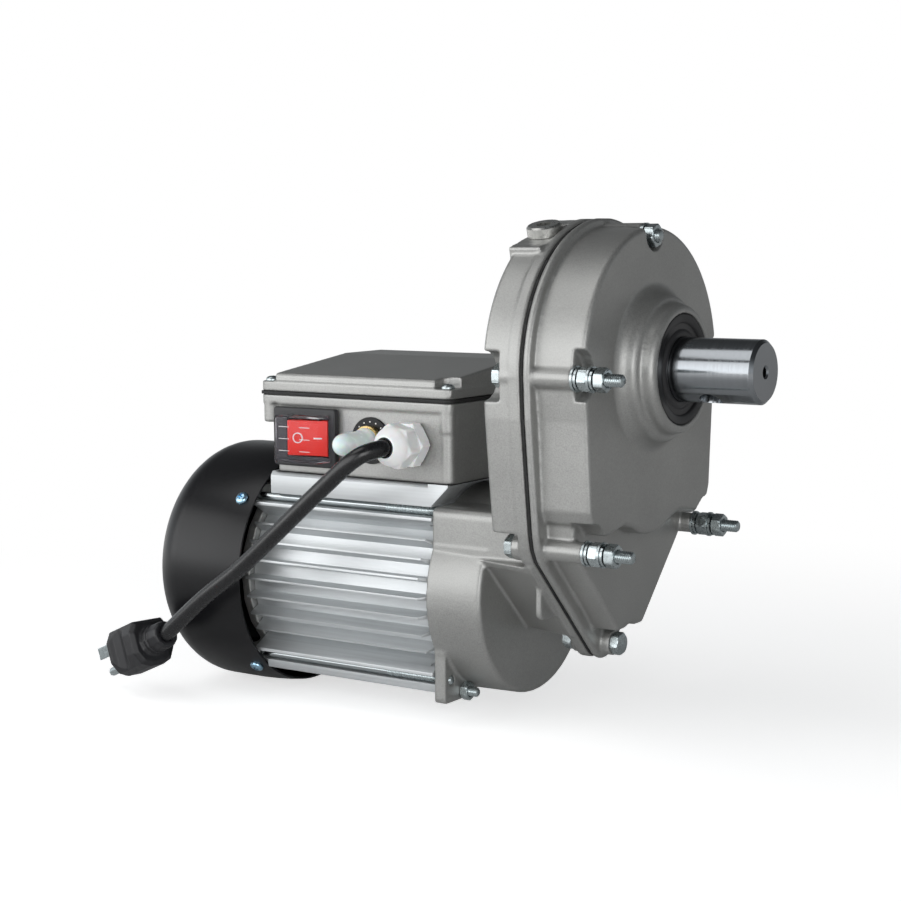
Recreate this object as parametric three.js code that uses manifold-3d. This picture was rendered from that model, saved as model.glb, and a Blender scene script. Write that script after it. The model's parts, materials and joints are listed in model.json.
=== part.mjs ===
// Capacitor-start gearmotor with a three-stage parallel-shaft gearbox.
// Millimetres. +X runs along the shafts towards the output end, +Z is up.
// The origin sits on the output-shaft axis, in the plane of the four stud seats.
import * as THREE from 'three';
import Module from 'manifold-3d';
import * as BufferGeometryUtils from 'three/addons/utils/BufferGeometryUtils.js';

const wasm = await Module();
wasm.setup();
const { Manifold, Mesh } = wasm;

// ---------------------------------------------------------------- driving dimensions
const seamX = -25;                 // gearbox split plane
const motorZ = -112;               // motor axis below the output axis
const gap = 0.3;                   // clearance between neighbouring pieces

const flangeRadius = 70.3;         // round top of the split flange
const flangeThick = 6;
const gasketHalf = 0.8;
const rearDepth = 21.2;            // rear housing behind the split plane
const faceX = seamX + 30.6;        // raised front face of the cover
const lowFaceX = seamX + 19;       // recessed lower front face
const bossFaceX = seamX + 46.2;    // end of the output boss
const shaftEndX = seamX + 87.3;
const shaftRadius = 15;

const studUpper = { y: 64, z: -1 };
const studLower = { y: 54, z: -81 };
const studEndX = 24.2;
const studRadius = 3;
const topBolt = { y: 0, z: 62 };
const bottomBolt = { y: 0, z: -134 };

const shieldRadius = 52.2;         // cast front end shield of the motor
const shieldFrontX = seamX - 34.6;
const shieldBackX = seamX - 65.1;
const frameFrontX = shieldBackX - gap;
const frameBackX = seamX - 177;
const coverRimX = seamX - 174.5;
const coverBackX = seamX - 237.5;
const coverRadius = 64;
const coverRimRadius = 62.4;
const tieUpper = { y: 39.6, z: motorZ + 41.4 };
const tieLower = { y: 39.6, z: motorZ - 41.4 };
const tieRadius = 2.2;
const lugBoltY = 29;                // spare fixing hole in each bottom lug
const lugBoltZ = motorZ - 48.6;

const boxLeftX = seamX - 162;
const boxRightX = seamX - 54;
const boxFrontY = -46.4;
const boxBottomZ = motorZ + 55.8;
const boxTopZ = motorZ + 94.9;
const wall = 3;

// gear train: teeth, module, face width and layer along X
const stage1 = { module: 1.0, pinion: 11, gear: 45 };
const stage2 = { module: 1.25, pinion: 12, gear: 36 };
const stage3 = { module: 1.75, pinion: 12, gear: 56 };
const pitchRadius = (module, teeth) => module * teeth / 2;
const centre1 = pitchRadius(stage1.module, stage1.pinion + stage1.gear);
const centre2 = pitchRadius(stage2.module, stage2.pinion + stage2.gear);
const centre3 = pitchRadius(stage3.module, stage3.pinion + stage3.gear);
const inter2 = { y: 4, z: -Math.sqrt(centre3 * centre3 - 4 * 4) };
const inter1 = meetingPoint(0, motorZ, centre1, inter2.y, inter2.z, centre2);

// Share of the nominal facet count that every round feature keeps, in steps of four.
const facetShare = 0.5;
const facets = (count) => Math.max(8, 4 * Math.round(count * facetShare / 4));

// ---------------------------------------------------------------- helpers
function meetingPoint(y1, z1, r1, y2, z2, r2) {
  const dy = y2 - y1;
  const dz = z2 - z1;
  const d = Math.hypot(dy, dz);
  const a = (r1 * r1 - r2 * r2 + d * d) / (2 * d);
  const h = Math.sqrt(r1 * r1 - a * a);
  return { y: y1 + (a * dy - h * dz) / d, z: z1 + (a * dz + h * dy) / d };
}

function toManifold(geometry) {
  const bare = geometry.clone();
  bare.deleteAttribute('normal');
  bare.deleteAttribute('uv');
  const merged = BufferGeometryUtils.mergeVertices(bare, 1e-4);
  const position = merged.attributes.position.array;
  const index = merged.index.array;
  const triangles = [];
  let volume = 0;
  for (let i = 0; i < index.length; i += 3) {
    const [a, b, c] = [index[i], index[i + 1], index[i + 2]];
    if (a === b || b === c || a === c) continue;
    triangles.push(a, b, c);
    const pa = new THREE.Vector3().fromArray(position, a * 3);
    const pb = new THREE.Vector3().fromArray(position, b * 3);
    const pc = new THREE.Vector3().fromArray(position, c * 3);
    volume += pa.dot(pb.cross(pc)) / 6;
  }
  if (volume < 0) {
    triangles.reverse();
  }
  const mesh = new Mesh({
    numProp: 3,
    vertProperties: new Float32Array(position),
    triVerts: new Uint32Array(triangles),
  });
  return new Manifold(mesh);
}

function toGeometry(solid) {
  const mesh = solid.asOriginal().simplify(0.004).getMesh();
  const geometry = new THREE.BufferGeometry();
  const positions = new THREE.BufferAttribute(new Float32Array(mesh.vertProperties), 3);
  geometry.setAttribute('position', positions);
  geometry.setIndex(new THREE.BufferAttribute(new Uint32Array(mesh.triVerts), 1));
  geometry.computeVertexNormals();
  return geometry;
}

// Closed shape wound counter-clockwise, whichever way the points were listed.
function shapeOf(points, holes = []) {
  const contour = points.map((p) => new THREE.Vector2(p[0], p[1]));
  if (THREE.ShapeUtils.isClockWise(contour)) contour.reverse();
  const shape = new THREE.Shape(contour);
  for (const hole of holes) {
    shape.holes.push(new THREE.Path(hole.map((p) => new THREE.Vector2(p[0], p[1]))));
  }
  return shape;
}

const alongX = new THREE.Matrix4().makeBasis(
  new THREE.Vector3(0, 1, 0), new THREE.Vector3(0, 0, 1), new THREE.Vector3(1, 0, 0));
const alongMinusY = new THREE.Matrix4().makeBasis(
  new THREE.Vector3(1, 0, 0), new THREE.Vector3(0, 0, 1), new THREE.Vector3(0, -1, 0));

// Outline in (y, z) pushed from x0 to x1, with softened edges of the given size.
function prismX(points, x0, x1, soft = 0, holes = [], softSteps = 1) {
  const geometry = new THREE.ExtrudeGeometry(shapeOf(points, holes), {
    depth: x1 - x0 - 2 * soft,
    bevelEnabled: soft > 0,
    bevelThickness: soft,
    bevelSize: soft,
    bevelOffset: -soft,
    bevelSegments: softSteps,
    curveSegments: 1,
  });
  geometry.translate(0, 0, soft);
  geometry.applyMatrix4(alongX);
  geometry.translate(x0, 0, 0);
  return toManifold(geometry);
}

// Outline in (x, z) pushed from y0 towards the switch side, down to y1.
function prismY(points, y0, y1, soft = 0, holes = []) {
  const geometry = new THREE.ExtrudeGeometry(shapeOf(points, holes), {
    depth: y0 - y1 - 2 * soft,
    bevelEnabled: soft > 0,
    bevelThickness: soft,
    bevelSize: soft,
    bevelOffset: -soft,
    bevelSegments: 1,
    curveSegments: 1,
  });
  geometry.translate(0, 0, soft);
  geometry.applyMatrix4(alongMinusY);
  geometry.translate(0, y0, 0);
  return toManifold(geometry);
}

// Outline in (x, y) pushed upwards from z0 to z1.
function prismZ(points, z0, z1, soft = 0) {
  const geometry = new THREE.ExtrudeGeometry(shapeOf(points), {
    depth: z1 - z0 - 2 * soft,
    bevelEnabled: soft > 0,
    bevelThickness: soft,
    bevelSize: soft,
    bevelOffset: -soft,
    bevelSegments: 1,
    curveSegments: 1,
  });
  geometry.translate(0, 0, z0 + soft);
  return toManifold(geometry);
}

function rectangle(u0, u1, v0, v1, corner = 0, steps = 4) {
  if (corner === 0) {
    return [[u0, v0], [u1, v0], [u1, v1], [u0, v1]];
  }
  const points = [];
  const centres = [[u1 - corner, v0 + corner, -90], [u1 - corner, v1 - corner, 0],
    [u0 + corner, v1 - corner, 90], [u0 + corner, v0 + corner, 180]];
  for (const [cu, cv, start] of centres) {
    for (let i = 0; i <= steps; i++) {
      const angle = THREE.MathUtils.degToRad(start + 90 * i / steps);
      points.push([cu + corner * Math.cos(angle), cv + corner * Math.sin(angle)]);
    }
  }
  return points;
}

function ring(radius, count, cu = 0, cv = 0, phase = 0) {
  const points = [];
  for (let i = 0; i < count; i++) {
    const angle = 2 * Math.PI * i / count + phase;
    points.push([cu + radius * Math.cos(angle), cv + radius * Math.sin(angle)]);
  }
  return points;
}

function box(x0, x1, y0, y1, z0, z1) {
  const geometry = new THREE.BoxGeometry(x1 - x0, y1 - y0, z1 - z0);
  geometry.translate((x0 + x1) / 2, (y0 + y1) / 2, (z0 + z1) / 2);
  return toManifold(geometry);
}

// Round bar along X between x0 and x1.
function rodX(radius, x0, x1, y = 0, z = 0, segments = 32) {
  const geometry = new THREE.CylinderGeometry(radius, radius, x1 - x0, facets(segments));
  geometry.rotateZ(-Math.PI / 2);
  geometry.translate((x0 + x1) / 2, y, z);
  return toManifold(geometry);
}

function rodY(radius, y0, y1, x, z, segments = 32) {
  const geometry = new THREE.CylinderGeometry(radius, radius, y1 - y0, facets(segments));
  geometry.translate(x, (y0 + y1) / 2, z);
  return toManifold(geometry);
}

function rodZ(radius, z0, z1, x, y, segments = 24) {
  const geometry = new THREE.CylinderGeometry(radius, radius, z1 - z0, facets(segments));
  geometry.rotateX(Math.PI / 2);
  geometry.translate(x, y, (z0 + z1) / 2);
  return toManifold(geometry);
}

// Turned profile of [x, radius] pairs around an axis along X; closes on the axis or on itself.
function turnedX(profile, y = 0, z = 0, segments = 48) {
  const points = profile.map(([x, radius]) => new THREE.Vector2(radius, x));
  const geometry = new THREE.LatheGeometry(points, facets(segments));
  const cyclic = new THREE.Matrix4().makeBasis(
    new THREE.Vector3(0, 0, 1), new THREE.Vector3(1, 0, 0), new THREE.Vector3(0, 1, 0));
  geometry.applyMatrix4(cyclic);
  geometry.translate(0, y, z);
  return toManifold(geometry);
}

// Turned profile of [y, radius] pairs around an axis along Y.
function turnedY(profile, x, z, segments = 32) {
  const points = profile.map(([y, radius]) => new THREE.Vector2(radius, y));
  const geometry = new THREE.LatheGeometry(points, facets(segments));
  geometry.translate(x, 0, z);
  return toManifold(geometry);
}

function hexX(acrossFlats, x0, x1, y, z, turn = 0) {
  const radius = acrossFlats / Math.sqrt(3);
  return prismX(ring(radius, 6, y, z, turn), x0, x1);
}

function union(list) {
  return list.reduce((sum, item) => sum.add(item));
}

function cut(solid, list) {
  return list.reduce((rest, item) => rest.subtract(item), solid);
}

const group = new THREE.Group();

function piece(name, solid, look) {
  const geometry = solid.isBufferGeometry ? solid : toGeometry(solid);
  const material = new THREE.MeshStandardMaterial(look);
  const mesh = new THREE.Mesh(geometry, material);
  mesh.name = name;
  group.add(mesh);
}

// ---------------------------------------------------------------- looks
const castGrey = { color: 0x8b8984, roughness: 0.5, metalness: 0.85 };
const brightAlloy = { color: 0xc6cbce, roughness: 0.32, metalness: 0.9 };
const steel = { color: 0x8f9295, roughness: 0.25, metalness: 1.0 };
const gearSteel = { color: 0x77797c, roughness: 0.4, metalness: 0.95 };
const zinc = { color: 0xc3cbce, roughness: 0.28, metalness: 1.0 };
const blackRubber = { color: 0x141414, roughness: 0.7, metalness: 0.0 };
const blackPaint = { color: 0x0c0c0e, roughness: 0.25, metalness: 0.1 };
const blackPlastic = { color: 0x17171a, roughness: 0.4, metalness: 0.0 };
const whiteNylon = { color: 0xf2f2f0, roughness: 0.45, metalness: 0.0 };
const redPlastic = { color: 0xd21410, roughness: 0.3, metalness: 0.0 };
const milkySilicone = { color: 0xd9d8d2, roughness: 0.35, metalness: 0.0 };
const clearPlastic = { color: 0xdfe3e6, roughness: 0.1, metalness: 0.0 };
const brassLook = { color: 0xb08d4a, roughness: 0.3, metalness: 1.0 };
const copperWire = { color: 0xa3562c, roughness: 0.4, metalness: 0.8 };
const laminated = { color: 0x5f6266, roughness: 0.5, metalness: 0.9 };

// ---------------------------------------------------------------- gearbox outlines
const mirrored = (half) => half.concat(half.slice().reverse().map(([y, z]) => [-y, z]));

function arcPoints(radius, from, to, steps, cy = 0, cz = 0) {
  const points = [];
  for (let i = 0; i <= steps; i++) {
    const angle = THREE.MathUtils.degToRad(from + (to - from) * i / steps);
    points.push([cy + radius * Math.cos(angle), cz + radius * Math.sin(angle)]);
  }
  return points;
}

// Whole flange outline, shrunk by an inset.
function flangeOutline(inset) {
  const half = arcPoints(flangeRadius - inset, 85, 0, 9);
  half.push([69.2 - inset, -20]);
  half.push([66.2 - inset, -46]);
  half.push([62.8 - inset, -74]);
  half.push([61.2 - inset, -81 + inset * 0.2]);
  half.push([57.9 - inset, -87.4 + inset * 0.4]);
  half.push(...arcPoints(11.5 - inset, -46, -82, 3, 0, bottomBolt.z + 3.5));
  return mirrored(half);
}

// Raised D-shaped front body of the cover with its wavy lower edge.
const faceOutline = mirrored([...arcPoints(66.2, 85, 0, 9), [63.2, -21], [60.1, -62], [57.7, -67.6],
  [51, -71.6], [43.6, -74.2], [36, -73], [27.5, -71.3], [18.5, -73.6], [9.5, -77.6], [3, -78.6]]);

function lowerOutline(inset) {
  const half = [[60.4 - inset, -60]];
  half.push([59 - inset, -76]);
  half.push([55.6 - inset, -84.4]);
  half.push([13.4 - inset * 0.3, -127.2 + inset * 0.5]);
  return mirrored(half);
}

function cavityOutline(vShift) {
  const half = arcPoints(57.4, 84, 0, 6);
  half.push([56.6, -20]);
  half.push([52.4, -64]);
  half.push([46 + vShift, -73]);
  half.push([45.6 + vShift, -86]);
  half.push([12 + vShift, -120]);
  return mirrored(half);
}

function frontCavityOutline() {
  const half = arcPoints(53.8, 84, 0, 6);
  half.push([53.4, -20]);
  half.push([52.4, -62]);
  half.push([46, -67]);
  half.push([22, -67]);
  half.push([12, -72.6]);
  half.push([4, -74]);
  return mirrored(half);
}

const studs = [
  { name: 'upper_left', y: -studUpper.y, z: studUpper.z },
  { name: 'upper_right', y: studUpper.y, z: studUpper.z },
  { name: 'lower_left', y: -studLower.y, z: studLower.z },
  { name: 'lower_right', y: studLower.y, z: studLower.z },
];

// ---------------------------------------------------------------- rear housing with front end shield
const rearTopX = seamX - rearDepth;
const rearSplitX = seamX - gasketHalf - 0.1;
const upperHalf = box(rearTopX - 1, seamX + 40, -90, 90, -74, 90);
const rearBody = prismX(flangeOutline(0.5), rearTopX, rearSplitX, 1.6).intersect(upperHalf);
const rearFlange = prismX(flangeOutline(0), rearSplitX - flangeThick, rearSplitX, 0.5);
const neckOuter = 46.4;
const neckTop = motorZ + 44.4;
const neck = prismX(rectangle(-neckOuter, neckOuter, motorZ - 5, neckTop, 4, 3),
  shieldBackX, rearSplitX - 3);
const shieldDrum = turnedX([[shieldBackX, 0], [shieldBackX, shieldRadius],
  [shieldFrontX - 1.5, shieldRadius - 0.6], [shieldFrontX, shieldRadius - 2],
  [shieldFrontX, 0]], 0, motorZ, 64);

// Wedge-shaped nose between the drum and the flange, narrower at the drum.
function noseSolid() {
  const seamSide = mirrored([[57, -90], [55, -93], [18.5, -129.6]]);
  const drumSide = mirrored([[47, -90.6], [44.5, -94], [8.5, -129.6]]);
  const back = shieldFrontX - 4;
  const front = rearSplitX - 2;
  const geometry = new THREE.ExtrudeGeometry(shapeOf(seamSide), {
    depth: 1, bevelEnabled: false, steps: 1,
  });
  const position = geometry.attributes.position;
  for (let i = 0; i < position.count; i++) {
    if (position.getZ(i) > 0.5) continue;
    const y = position.getX(i);
    const z = position.getY(i);
    const at = seamSide.findIndex((p) => Math.hypot(p[0] - y, p[1] - z) < 1e-3);
    position.setXY(i, drumSide[at][0], drumSide[at][1]);
  }
  geometry.applyMatrix4(alongX);
  geometry.scale(front - back, 1, 1);
  geometry.translate(back, 0, 0);
  return toManifold(geometry);
}

const rearBosses = [];
const rearHeadX = seamX - 12;
for (const stud of studs) {
  rearBosses.push(rodX(6.4, rearHeadX, rearSplitX, stud.y, stud.z, 24));
}
const lowerWebs = [-1, 1].map((side) => box(rearHeadX, rearSplitX,
  Math.min(side * 44, side * 54), Math.max(side * 44, side * 54), -86, -74));
const bottomRearBoss = rodX(6.6, seamX - 11.5, rearSplitX, bottomBolt.y, bottomBolt.z, 24);
const inter2RearBoss = rodX(13, seamX - 25.5, rearTopX + 2, inter2.y, inter2.z, 32);

// Sloping pad that carries the oil filler plug.
const plugTilt = THREE.MathUtils.degToRad(16);
const plugX = seamX - 13.4;
const padDistance = 67.2;
const plugDirection = new THREE.Vector3(0, -Math.sin(plugTilt), Math.cos(plugTilt));
const plugShift = -8;

function tiltedPiece(geometry, along, sideways) {
  geometry.translate(0, sideways, along);
  geometry.rotateX(plugTilt);
  geometry.translate(plugX, 0, 0);
  return toManifold(geometry);
}

const pad = tiltedPiece(new THREE.BoxGeometry(17, 36, 12), padDistance - 6, plugShift - 2);
const padCut = tiltedPiece(new THREE.BoxGeometry(17, 30.6, 12), padDistance + 6, plugShift - 6.7);
const plugBore = tiltedPiece(
  new THREE.CylinderGeometry(5.3, 5.3, 30, 24).rotateX(Math.PI / 2), padDistance - 10, plugShift);

// Corner lugs at the bottom of the shield, clamped by the lower tie rods.
const shieldLugs = [-1, 1].map((side) => {
  return prismX(rectangle(Math.min(side * 18, side * 45.6), Math.max(side * 18, side * 45.6),
    motorZ - 52.6, motorZ - 23, 2, 2), shieldBackX, shieldBackX + 6.4);
});

let rearHousing = union([rearBody, rearFlange, neck, shieldDrum, noseSolid(), bottomRearBoss,
  inter2RearBoss, pad, ...rearBosses, ...lowerWebs, ...shieldLugs]);
const rearCavity = prismX(cavityOutline(0.8), seamX - 16.3, seamX + 2);
const outputRearRing = turnedX([[seamX - 18, 18], [seamX - 18, 25.4], [seamX - 3.4, 25.4],
  [seamX - 3.4, 18], [seamX - 18, 18]], 0, 0, 48);
const shieldHollow = turnedX([[shieldBackX - 1, 0], [shieldBackX - 1, 43.5], [seamX - 43, 43.5],
  [seamX - 39.5, 40], [seamX - 39.5, 0]], 0, motorZ, 48);
rearHousing = cut(rearHousing, [rearCavity, shieldHollow]);
rearHousing = rearHousing.add(outputRearRing);
const rearNotches = [-1, 1].map((side) => {
  const upper = rodX(11.5, rearTopX - 1, rearHeadX, side * (studUpper.y + 4), studUpper.z, 28);
  const lower = rodX(7.2, rearTopX - 1, rearHeadX, side * studLower.y, studLower.z, 28);
  return upper.add(lower);
});
rearHousing = cut(rearHousing, [
  rodX(21.2, seamX - 14.6, seamX + 1, 0, 0, 48),
  rodX(17.7, shieldBackX, seamX - 27.4, 0, motorZ, 40),
  rodX(8.2, shieldBackX, seamX, 0, motorZ, 32),
  rodX(6.3, seamX - 23, seamX, inter2.y, inter2.z, 28),
  rodX(5.3, seamX - 24, seamX, inter1.y, inter1.z, 28),
  plugBore, padCut, ...rearNotches]);
for (const stud of studs) {
  rearHousing = rearHousing.subtract(rodX(studRadius + gap, seamX - 30, seamX, stud.y, stud.z, 20));
}
for (const bolt of [topBolt, bottomBolt]) {
  rearHousing = rearHousing.subtract(rodX(studRadius + gap, seamX - 40, seamX, bolt.y, bolt.z, 20));
}
rearHousing = cut(rearHousing, [
  rodX(8.4, rearTopX - 1, seamX - 14, topBolt.y, topBolt.z + 1.5, 24),
  rodX(7.4, seamX - 40, seamX - 11.6, bottomBolt.y, bottomBolt.z, 24)]);
for (const side of [-1, 1]) {
  rearHousing = cut(rearHousing, [
    rodX(tieRadius + gap, shieldBackX - 1, shieldBackX + 13, side * tieLower.y, tieLower.z, 16),
    rodX(tieRadius + gap, shieldBackX - 1, shieldBackX + 16, side * tieUpper.y, tieUpper.z, 16),
    rodX(2.4, shieldBackX - 1, shieldBackX + 7, side * lugBoltY, lugBoltZ, 16)]);
}
piece('gearbox_rear_housing', rearHousing, castGrey);

// ---------------------------------------------------------------- gasket
const studHoles = studs.map((stud) => ring(studRadius + gap, 16, stud.y, stud.z));
const gasketHoles = [cavityOutline(0.8), ring(studRadius + gap, 16, topBolt.y, topBolt.z),
  ring(studRadius + gap, 16, bottomBolt.y, bottomBolt.z), ...studHoles];
piece('housing_gasket', prismX(flangeOutline(0.7), seamX - gasketHalf, seamX + gasketHalf, 0,
  gasketHoles), blackRubber);

// ---------------------------------------------------------------- front cover
const coverSplitX = seamX + gasketHalf + 0.1;
const bead = prismX(flangeOutline(-0.2), coverSplitX, coverSplitX + 4, 1.4, [], 2);
const face = prismX(faceOutline, coverSplitX + 1, faceX, 1.8, [], 2);
const lower = prismX(lowerOutline(4.2), coverSplitX + 1, lowFaceX, 1.4);
const tubes = studs.map((stud) => rodX(5.1, coverSplitX + 1, -gap / 2, stud.y, stud.z, 24));
const topSeatX = seamX + 24.8;
const topFloorX = topSeatX - 1.6;
const topTube = rodX(5.9, coverSplitX + 1, topSeatX, topBolt.y, topBolt.z, 28);
const bottomTube = rodX(6.2, coverSplitX + 1, seamX + 9.6, bottomBolt.y, bottomBolt.z, 24);
const outputBoss = turnedX([[seamX + 20, 0], [seamX + 20, 39], [seamX + 31, 39],
  [seamX + 32, 37.4], [seamX + 34.2, 35.6], [seamX + 37.6, 34.4], [seamX + 39, 33], [seamX + 39.4, 31],
  [seamX + 43.6, 30.4], [seamX + 45.4, 29.4], [bossFaceX, 27.8], [bossFaceX, 0]], 0, 0, 64);

let cover = union([bead, face, lower, topTube, bottomTube, outputBoss, ...tubes]);
const frontCavity = prismX(frontCavityOutline(), seamX - 1, seamX + 25.6);
const frontLowCavity = prismX(cavityOutline(-2.4), seamX - 1, seamX + 14.4);
cover = cut(cover, [frontCavity, frontLowCavity]);
const inter1Ring = rodX(9.4, seamX + 9.4, seamX + 16, inter1.y, inter1.z, 28);
cover = cover.add(inter1Ring);
const pocketDeep = faceX + 2;
cover = cut(cover, [
  turnedX([[seamX + 20, 0], [seamX + 20, 27.8], [seamX + 34.6, 27.8], [seamX + 34.6, 26.2],
    [bossFaceX + 1, 26.2], [bossFaceX + 1, 0]], 0, 0, 64),
  rodX(12.4, -gap / 2, pocketDeep, -studUpper.y - 4.4, studUpper.z + 1.5, 32),
  rodX(12.4, -gap / 2, pocketDeep, studUpper.y + 4.4, studUpper.z + 1.5, 32),
  rodX(12, -gap / 2 - 6, pocketDeep, -studLower.y - 2.5, studLower.z + 2, 32),
  rodX(12, -gap / 2 - 6, pocketDeep, studLower.y + 2.5, studLower.z + 2, 32),
  rodX(8.6, seamX + 9.6, lowFaceX + 1, bottomBolt.y, bottomBolt.z + 2.4, 28),
  rodX(10, seamX + 25.6 - 1, seamX + 28.2, inter2.y, inter2.z, 28),
  rodX(6.3, seamX + 9, seamX + 14.4, inter1.y, inter1.z, 28),
]);
cover = cover.add(union(tubes.slice(2)));
const topPocket = rodX(8.6, topFloorX, pocketDeep, topBolt.y, topBolt.z + 1.4, 32).add(
  box(topFloorX, pocketDeep, -8.6, 8.6, topBolt.z + 1.4, 80));
cover = cover.subtract(topPocket).add(rodX(5.9, topFloorX - 1, topSeatX, topBolt.y, topBolt.z, 28));
for (const stud of [...studs, topBolt, bottomBolt]) {
  cover = cover.subtract(rodX(studRadius + gap, seamX - 1, pocketDeep, stud.y, stud.z, 20));
}
piece('gearbox_front_cover', cover, castGrey);

// ---------------------------------------------------------------- gears
// Straight-sided teeth with a mid-flank point; half the backlash is taken off each flank.
function toothedOutline(module, teeth, y, z, phase, backlash = 0.22) {
  const pitch = module * teeth / 2;
  const tip = pitch + module * 0.94;
  const root = pitch - module * 1.2;
  const half = Math.PI / (2 * teeth);
  const shrink = backlash / 2 / pitch;
  const edges = [[root, half * 1.62], [pitch, half], [tip, half * 0.42]];
  const widths = teeth > 20 ? [edges[0], edges[2]] : edges;
  const points = [];
  for (let i = 0; i < teeth; i++) {
    const middle = phase + 2 * Math.PI * i / teeth;
    const flank = widths.map(([radius, width]) => [radius, width - shrink]);
    for (const [radius, width] of flank) {
      points.push([y + radius * Math.cos(middle - width), z + radius * Math.sin(middle - width)]);
    }
    for (const [radius, width] of flank.slice().reverse()) {
      points.push([y + radius * Math.cos(middle + width), z + radius * Math.sin(middle + width)]);
    }
  }
  return points;
}

// Phase that puts a tooth space of the follower on the line of centres facing the leader's tooth.
function matePhase(leader, leaderTeeth, leaderPhase, follower, followerTeeth) {
  const toFollower = Math.atan2(follower.z - leader.z, follower.y - leader.y);
  const leaderPitch = 2 * Math.PI / leaderTeeth;
  const offset = (toFollower - leaderPhase) / leaderPitch;
  const fraction = offset - Math.round(offset);
  const followerPitch = 2 * Math.PI / followerTeeth;
  return toFollower + Math.PI + followerPitch * (0.5 + fraction);
}

const motorAxis = { y: 0, z: motorZ };
const outputAxis = { y: 0, z: 0 };
const phaseMotor = 0;
const phaseGear1 = matePhase(motorAxis, stage1.pinion, phaseMotor, inter1, stage1.gear);
const phasePinion2 = 0;
const phaseGear2 = matePhase(inter1, stage2.pinion, phasePinion2, inter2, stage2.gear);
const phasePinion3 = 0;
const phaseGear3 = matePhase(inter2, stage3.pinion, phasePinion3, outputAxis, stage3.gear);

const gear1X = [seamX - 15, seamX - 7.4];
const gear2X = [seamX - 5.4, seamX + 4.4];
const gear3X = [seamX + 6.6, seamX + 21.4];

function gearWheel(module, teeth, axis, phase, xs, bore) {
  const holes = [ring(bore, 20, axis.y, axis.z)];
  return prismX(toothedOutline(module, teeth, axis.y, axis.z, phase), xs[0], xs[1], 0, holes);
}

piece('output_gear', gearWheel(stage3.module, stage3.gear, outputAxis, phaseGear3, gear3X, 15.3),
  gearSteel);
piece('intermediate_gear_2', gearWheel(stage2.module, stage2.gear, inter2, phaseGear2, gear2X, 8.3),
  gearSteel);
piece('intermediate_gear_1', gearWheel(stage1.module, stage1.gear, inter1, phaseGear1, gear1X, 6.3),
  gearSteel);

// ---------------------------------------------------------------- output shaft
const outputTurned = turnedX([[seamX - 14, 0], [seamX - 14, 9.2], [seamX - 13.4, 9.8],
  [seamX - 1.4, 9.8], [seamX - 1.4, shaftRadius + 3], [seamX + 6.2, shaftRadius + 3],
  [seamX + 6.2, shaftRadius], [shaftEndX - 1.6, shaftRadius], [shaftEndX, shaftRadius - 1.6],
  [shaftEndX, 2.4], [shaftEndX - 12, 2.4], [shaftEndX - 13.4, 0]], 0, 0, 64);
const crossHoleX = seamX + 63.4;
const crossHoleLean = THREE.MathUtils.degToRad(26);
const crossHole = new THREE.CylinderGeometry(5.5, 5.5, 44, 32);
crossHole.rotateX(Math.PI / 2 - crossHoleLean);
crossHole.translate(crossHoleX, 0, 0);
const outputShaft = outputTurned.subtract(toManifold(crossHole));
piece('output_shaft', outputShaft, steel);

function ballBearing(x0, x1, inner, outer, axis, segments = 40) {
  const rebate = (outer - inner) * 0.3;
  const mid = 0.6;
  return turnedX([[x0, inner], [x0 + mid, inner + rebate], [x0 + mid, outer - rebate],
    [x0, outer], [x1, outer], [x1, inner], [x0, inner]], axis.y, axis.z, segments);
}

piece('output_bearing_front', ballBearing(seamX + 22, seamX + 34.3, shaftRadius + gap, 27.5,
  outputAxis), steel);
piece('output_bearing_rear', ballBearing(seamX - 14.2, seamX - 2, 9.8 + gap, 20.9, outputAxis), steel);
piece('oil_seal', turnedX([[seamX + 40.2, 17.4], [seamX + 40.2, 25.9], [seamX + 45.8, 25.9],
  [seamX + 45.8, 21.6], [seamX + 44.8, 20.8], [seamX + 44.8, 18.2], [seamX + 45.6, 16.4],
  [seamX + 45.4, shaftRadius + gap], [seamX + 43.4, shaftRadius + gap], [seamX + 42.2, 17.4],
  [seamX + 40.2, 17.4]], 0, 0, 64), blackRubber);

// ---------------------------------------------------------------- intermediate shafts
const shaft2Ends = turnedX([[seamX - 22.6, 0], [seamX - 22.6, 6], [seamX - 6, 6],
  [seamX - 6, 8], [seamX + 4.8, 8], [seamX + 4.8, 6], [seamX + 27.8, 6], [seamX + 27.8, 0]],
inter2.y, inter2.z, 28);
const pinion3 = prismX(toothedOutline(stage3.module, stage3.pinion, inter2.y, inter2.z, phasePinion3),
  seamX + 4.8, seamX + 23.2);
piece('intermediate_shaft_2', shaft2Ends.add(pinion3), gearSteel);

const shaft1Ends = turnedX([[seamX - 23.6, 0], [seamX - 23.6, 5], [seamX - 16, 5], [seamX - 16, 6],
  [seamX - 7, 6], [seamX + 14, 6], [seamX + 14, 0]], inter1.y, inter1.z, 28);
const pinion2 = prismX(toothedOutline(stage2.module, stage2.pinion, inter1.y, inter1.z, phasePinion2),
  seamX - 7, seamX + 6.4);
piece('intermediate_shaft_1', shaft1Ends.add(pinion2), gearSteel);

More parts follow.
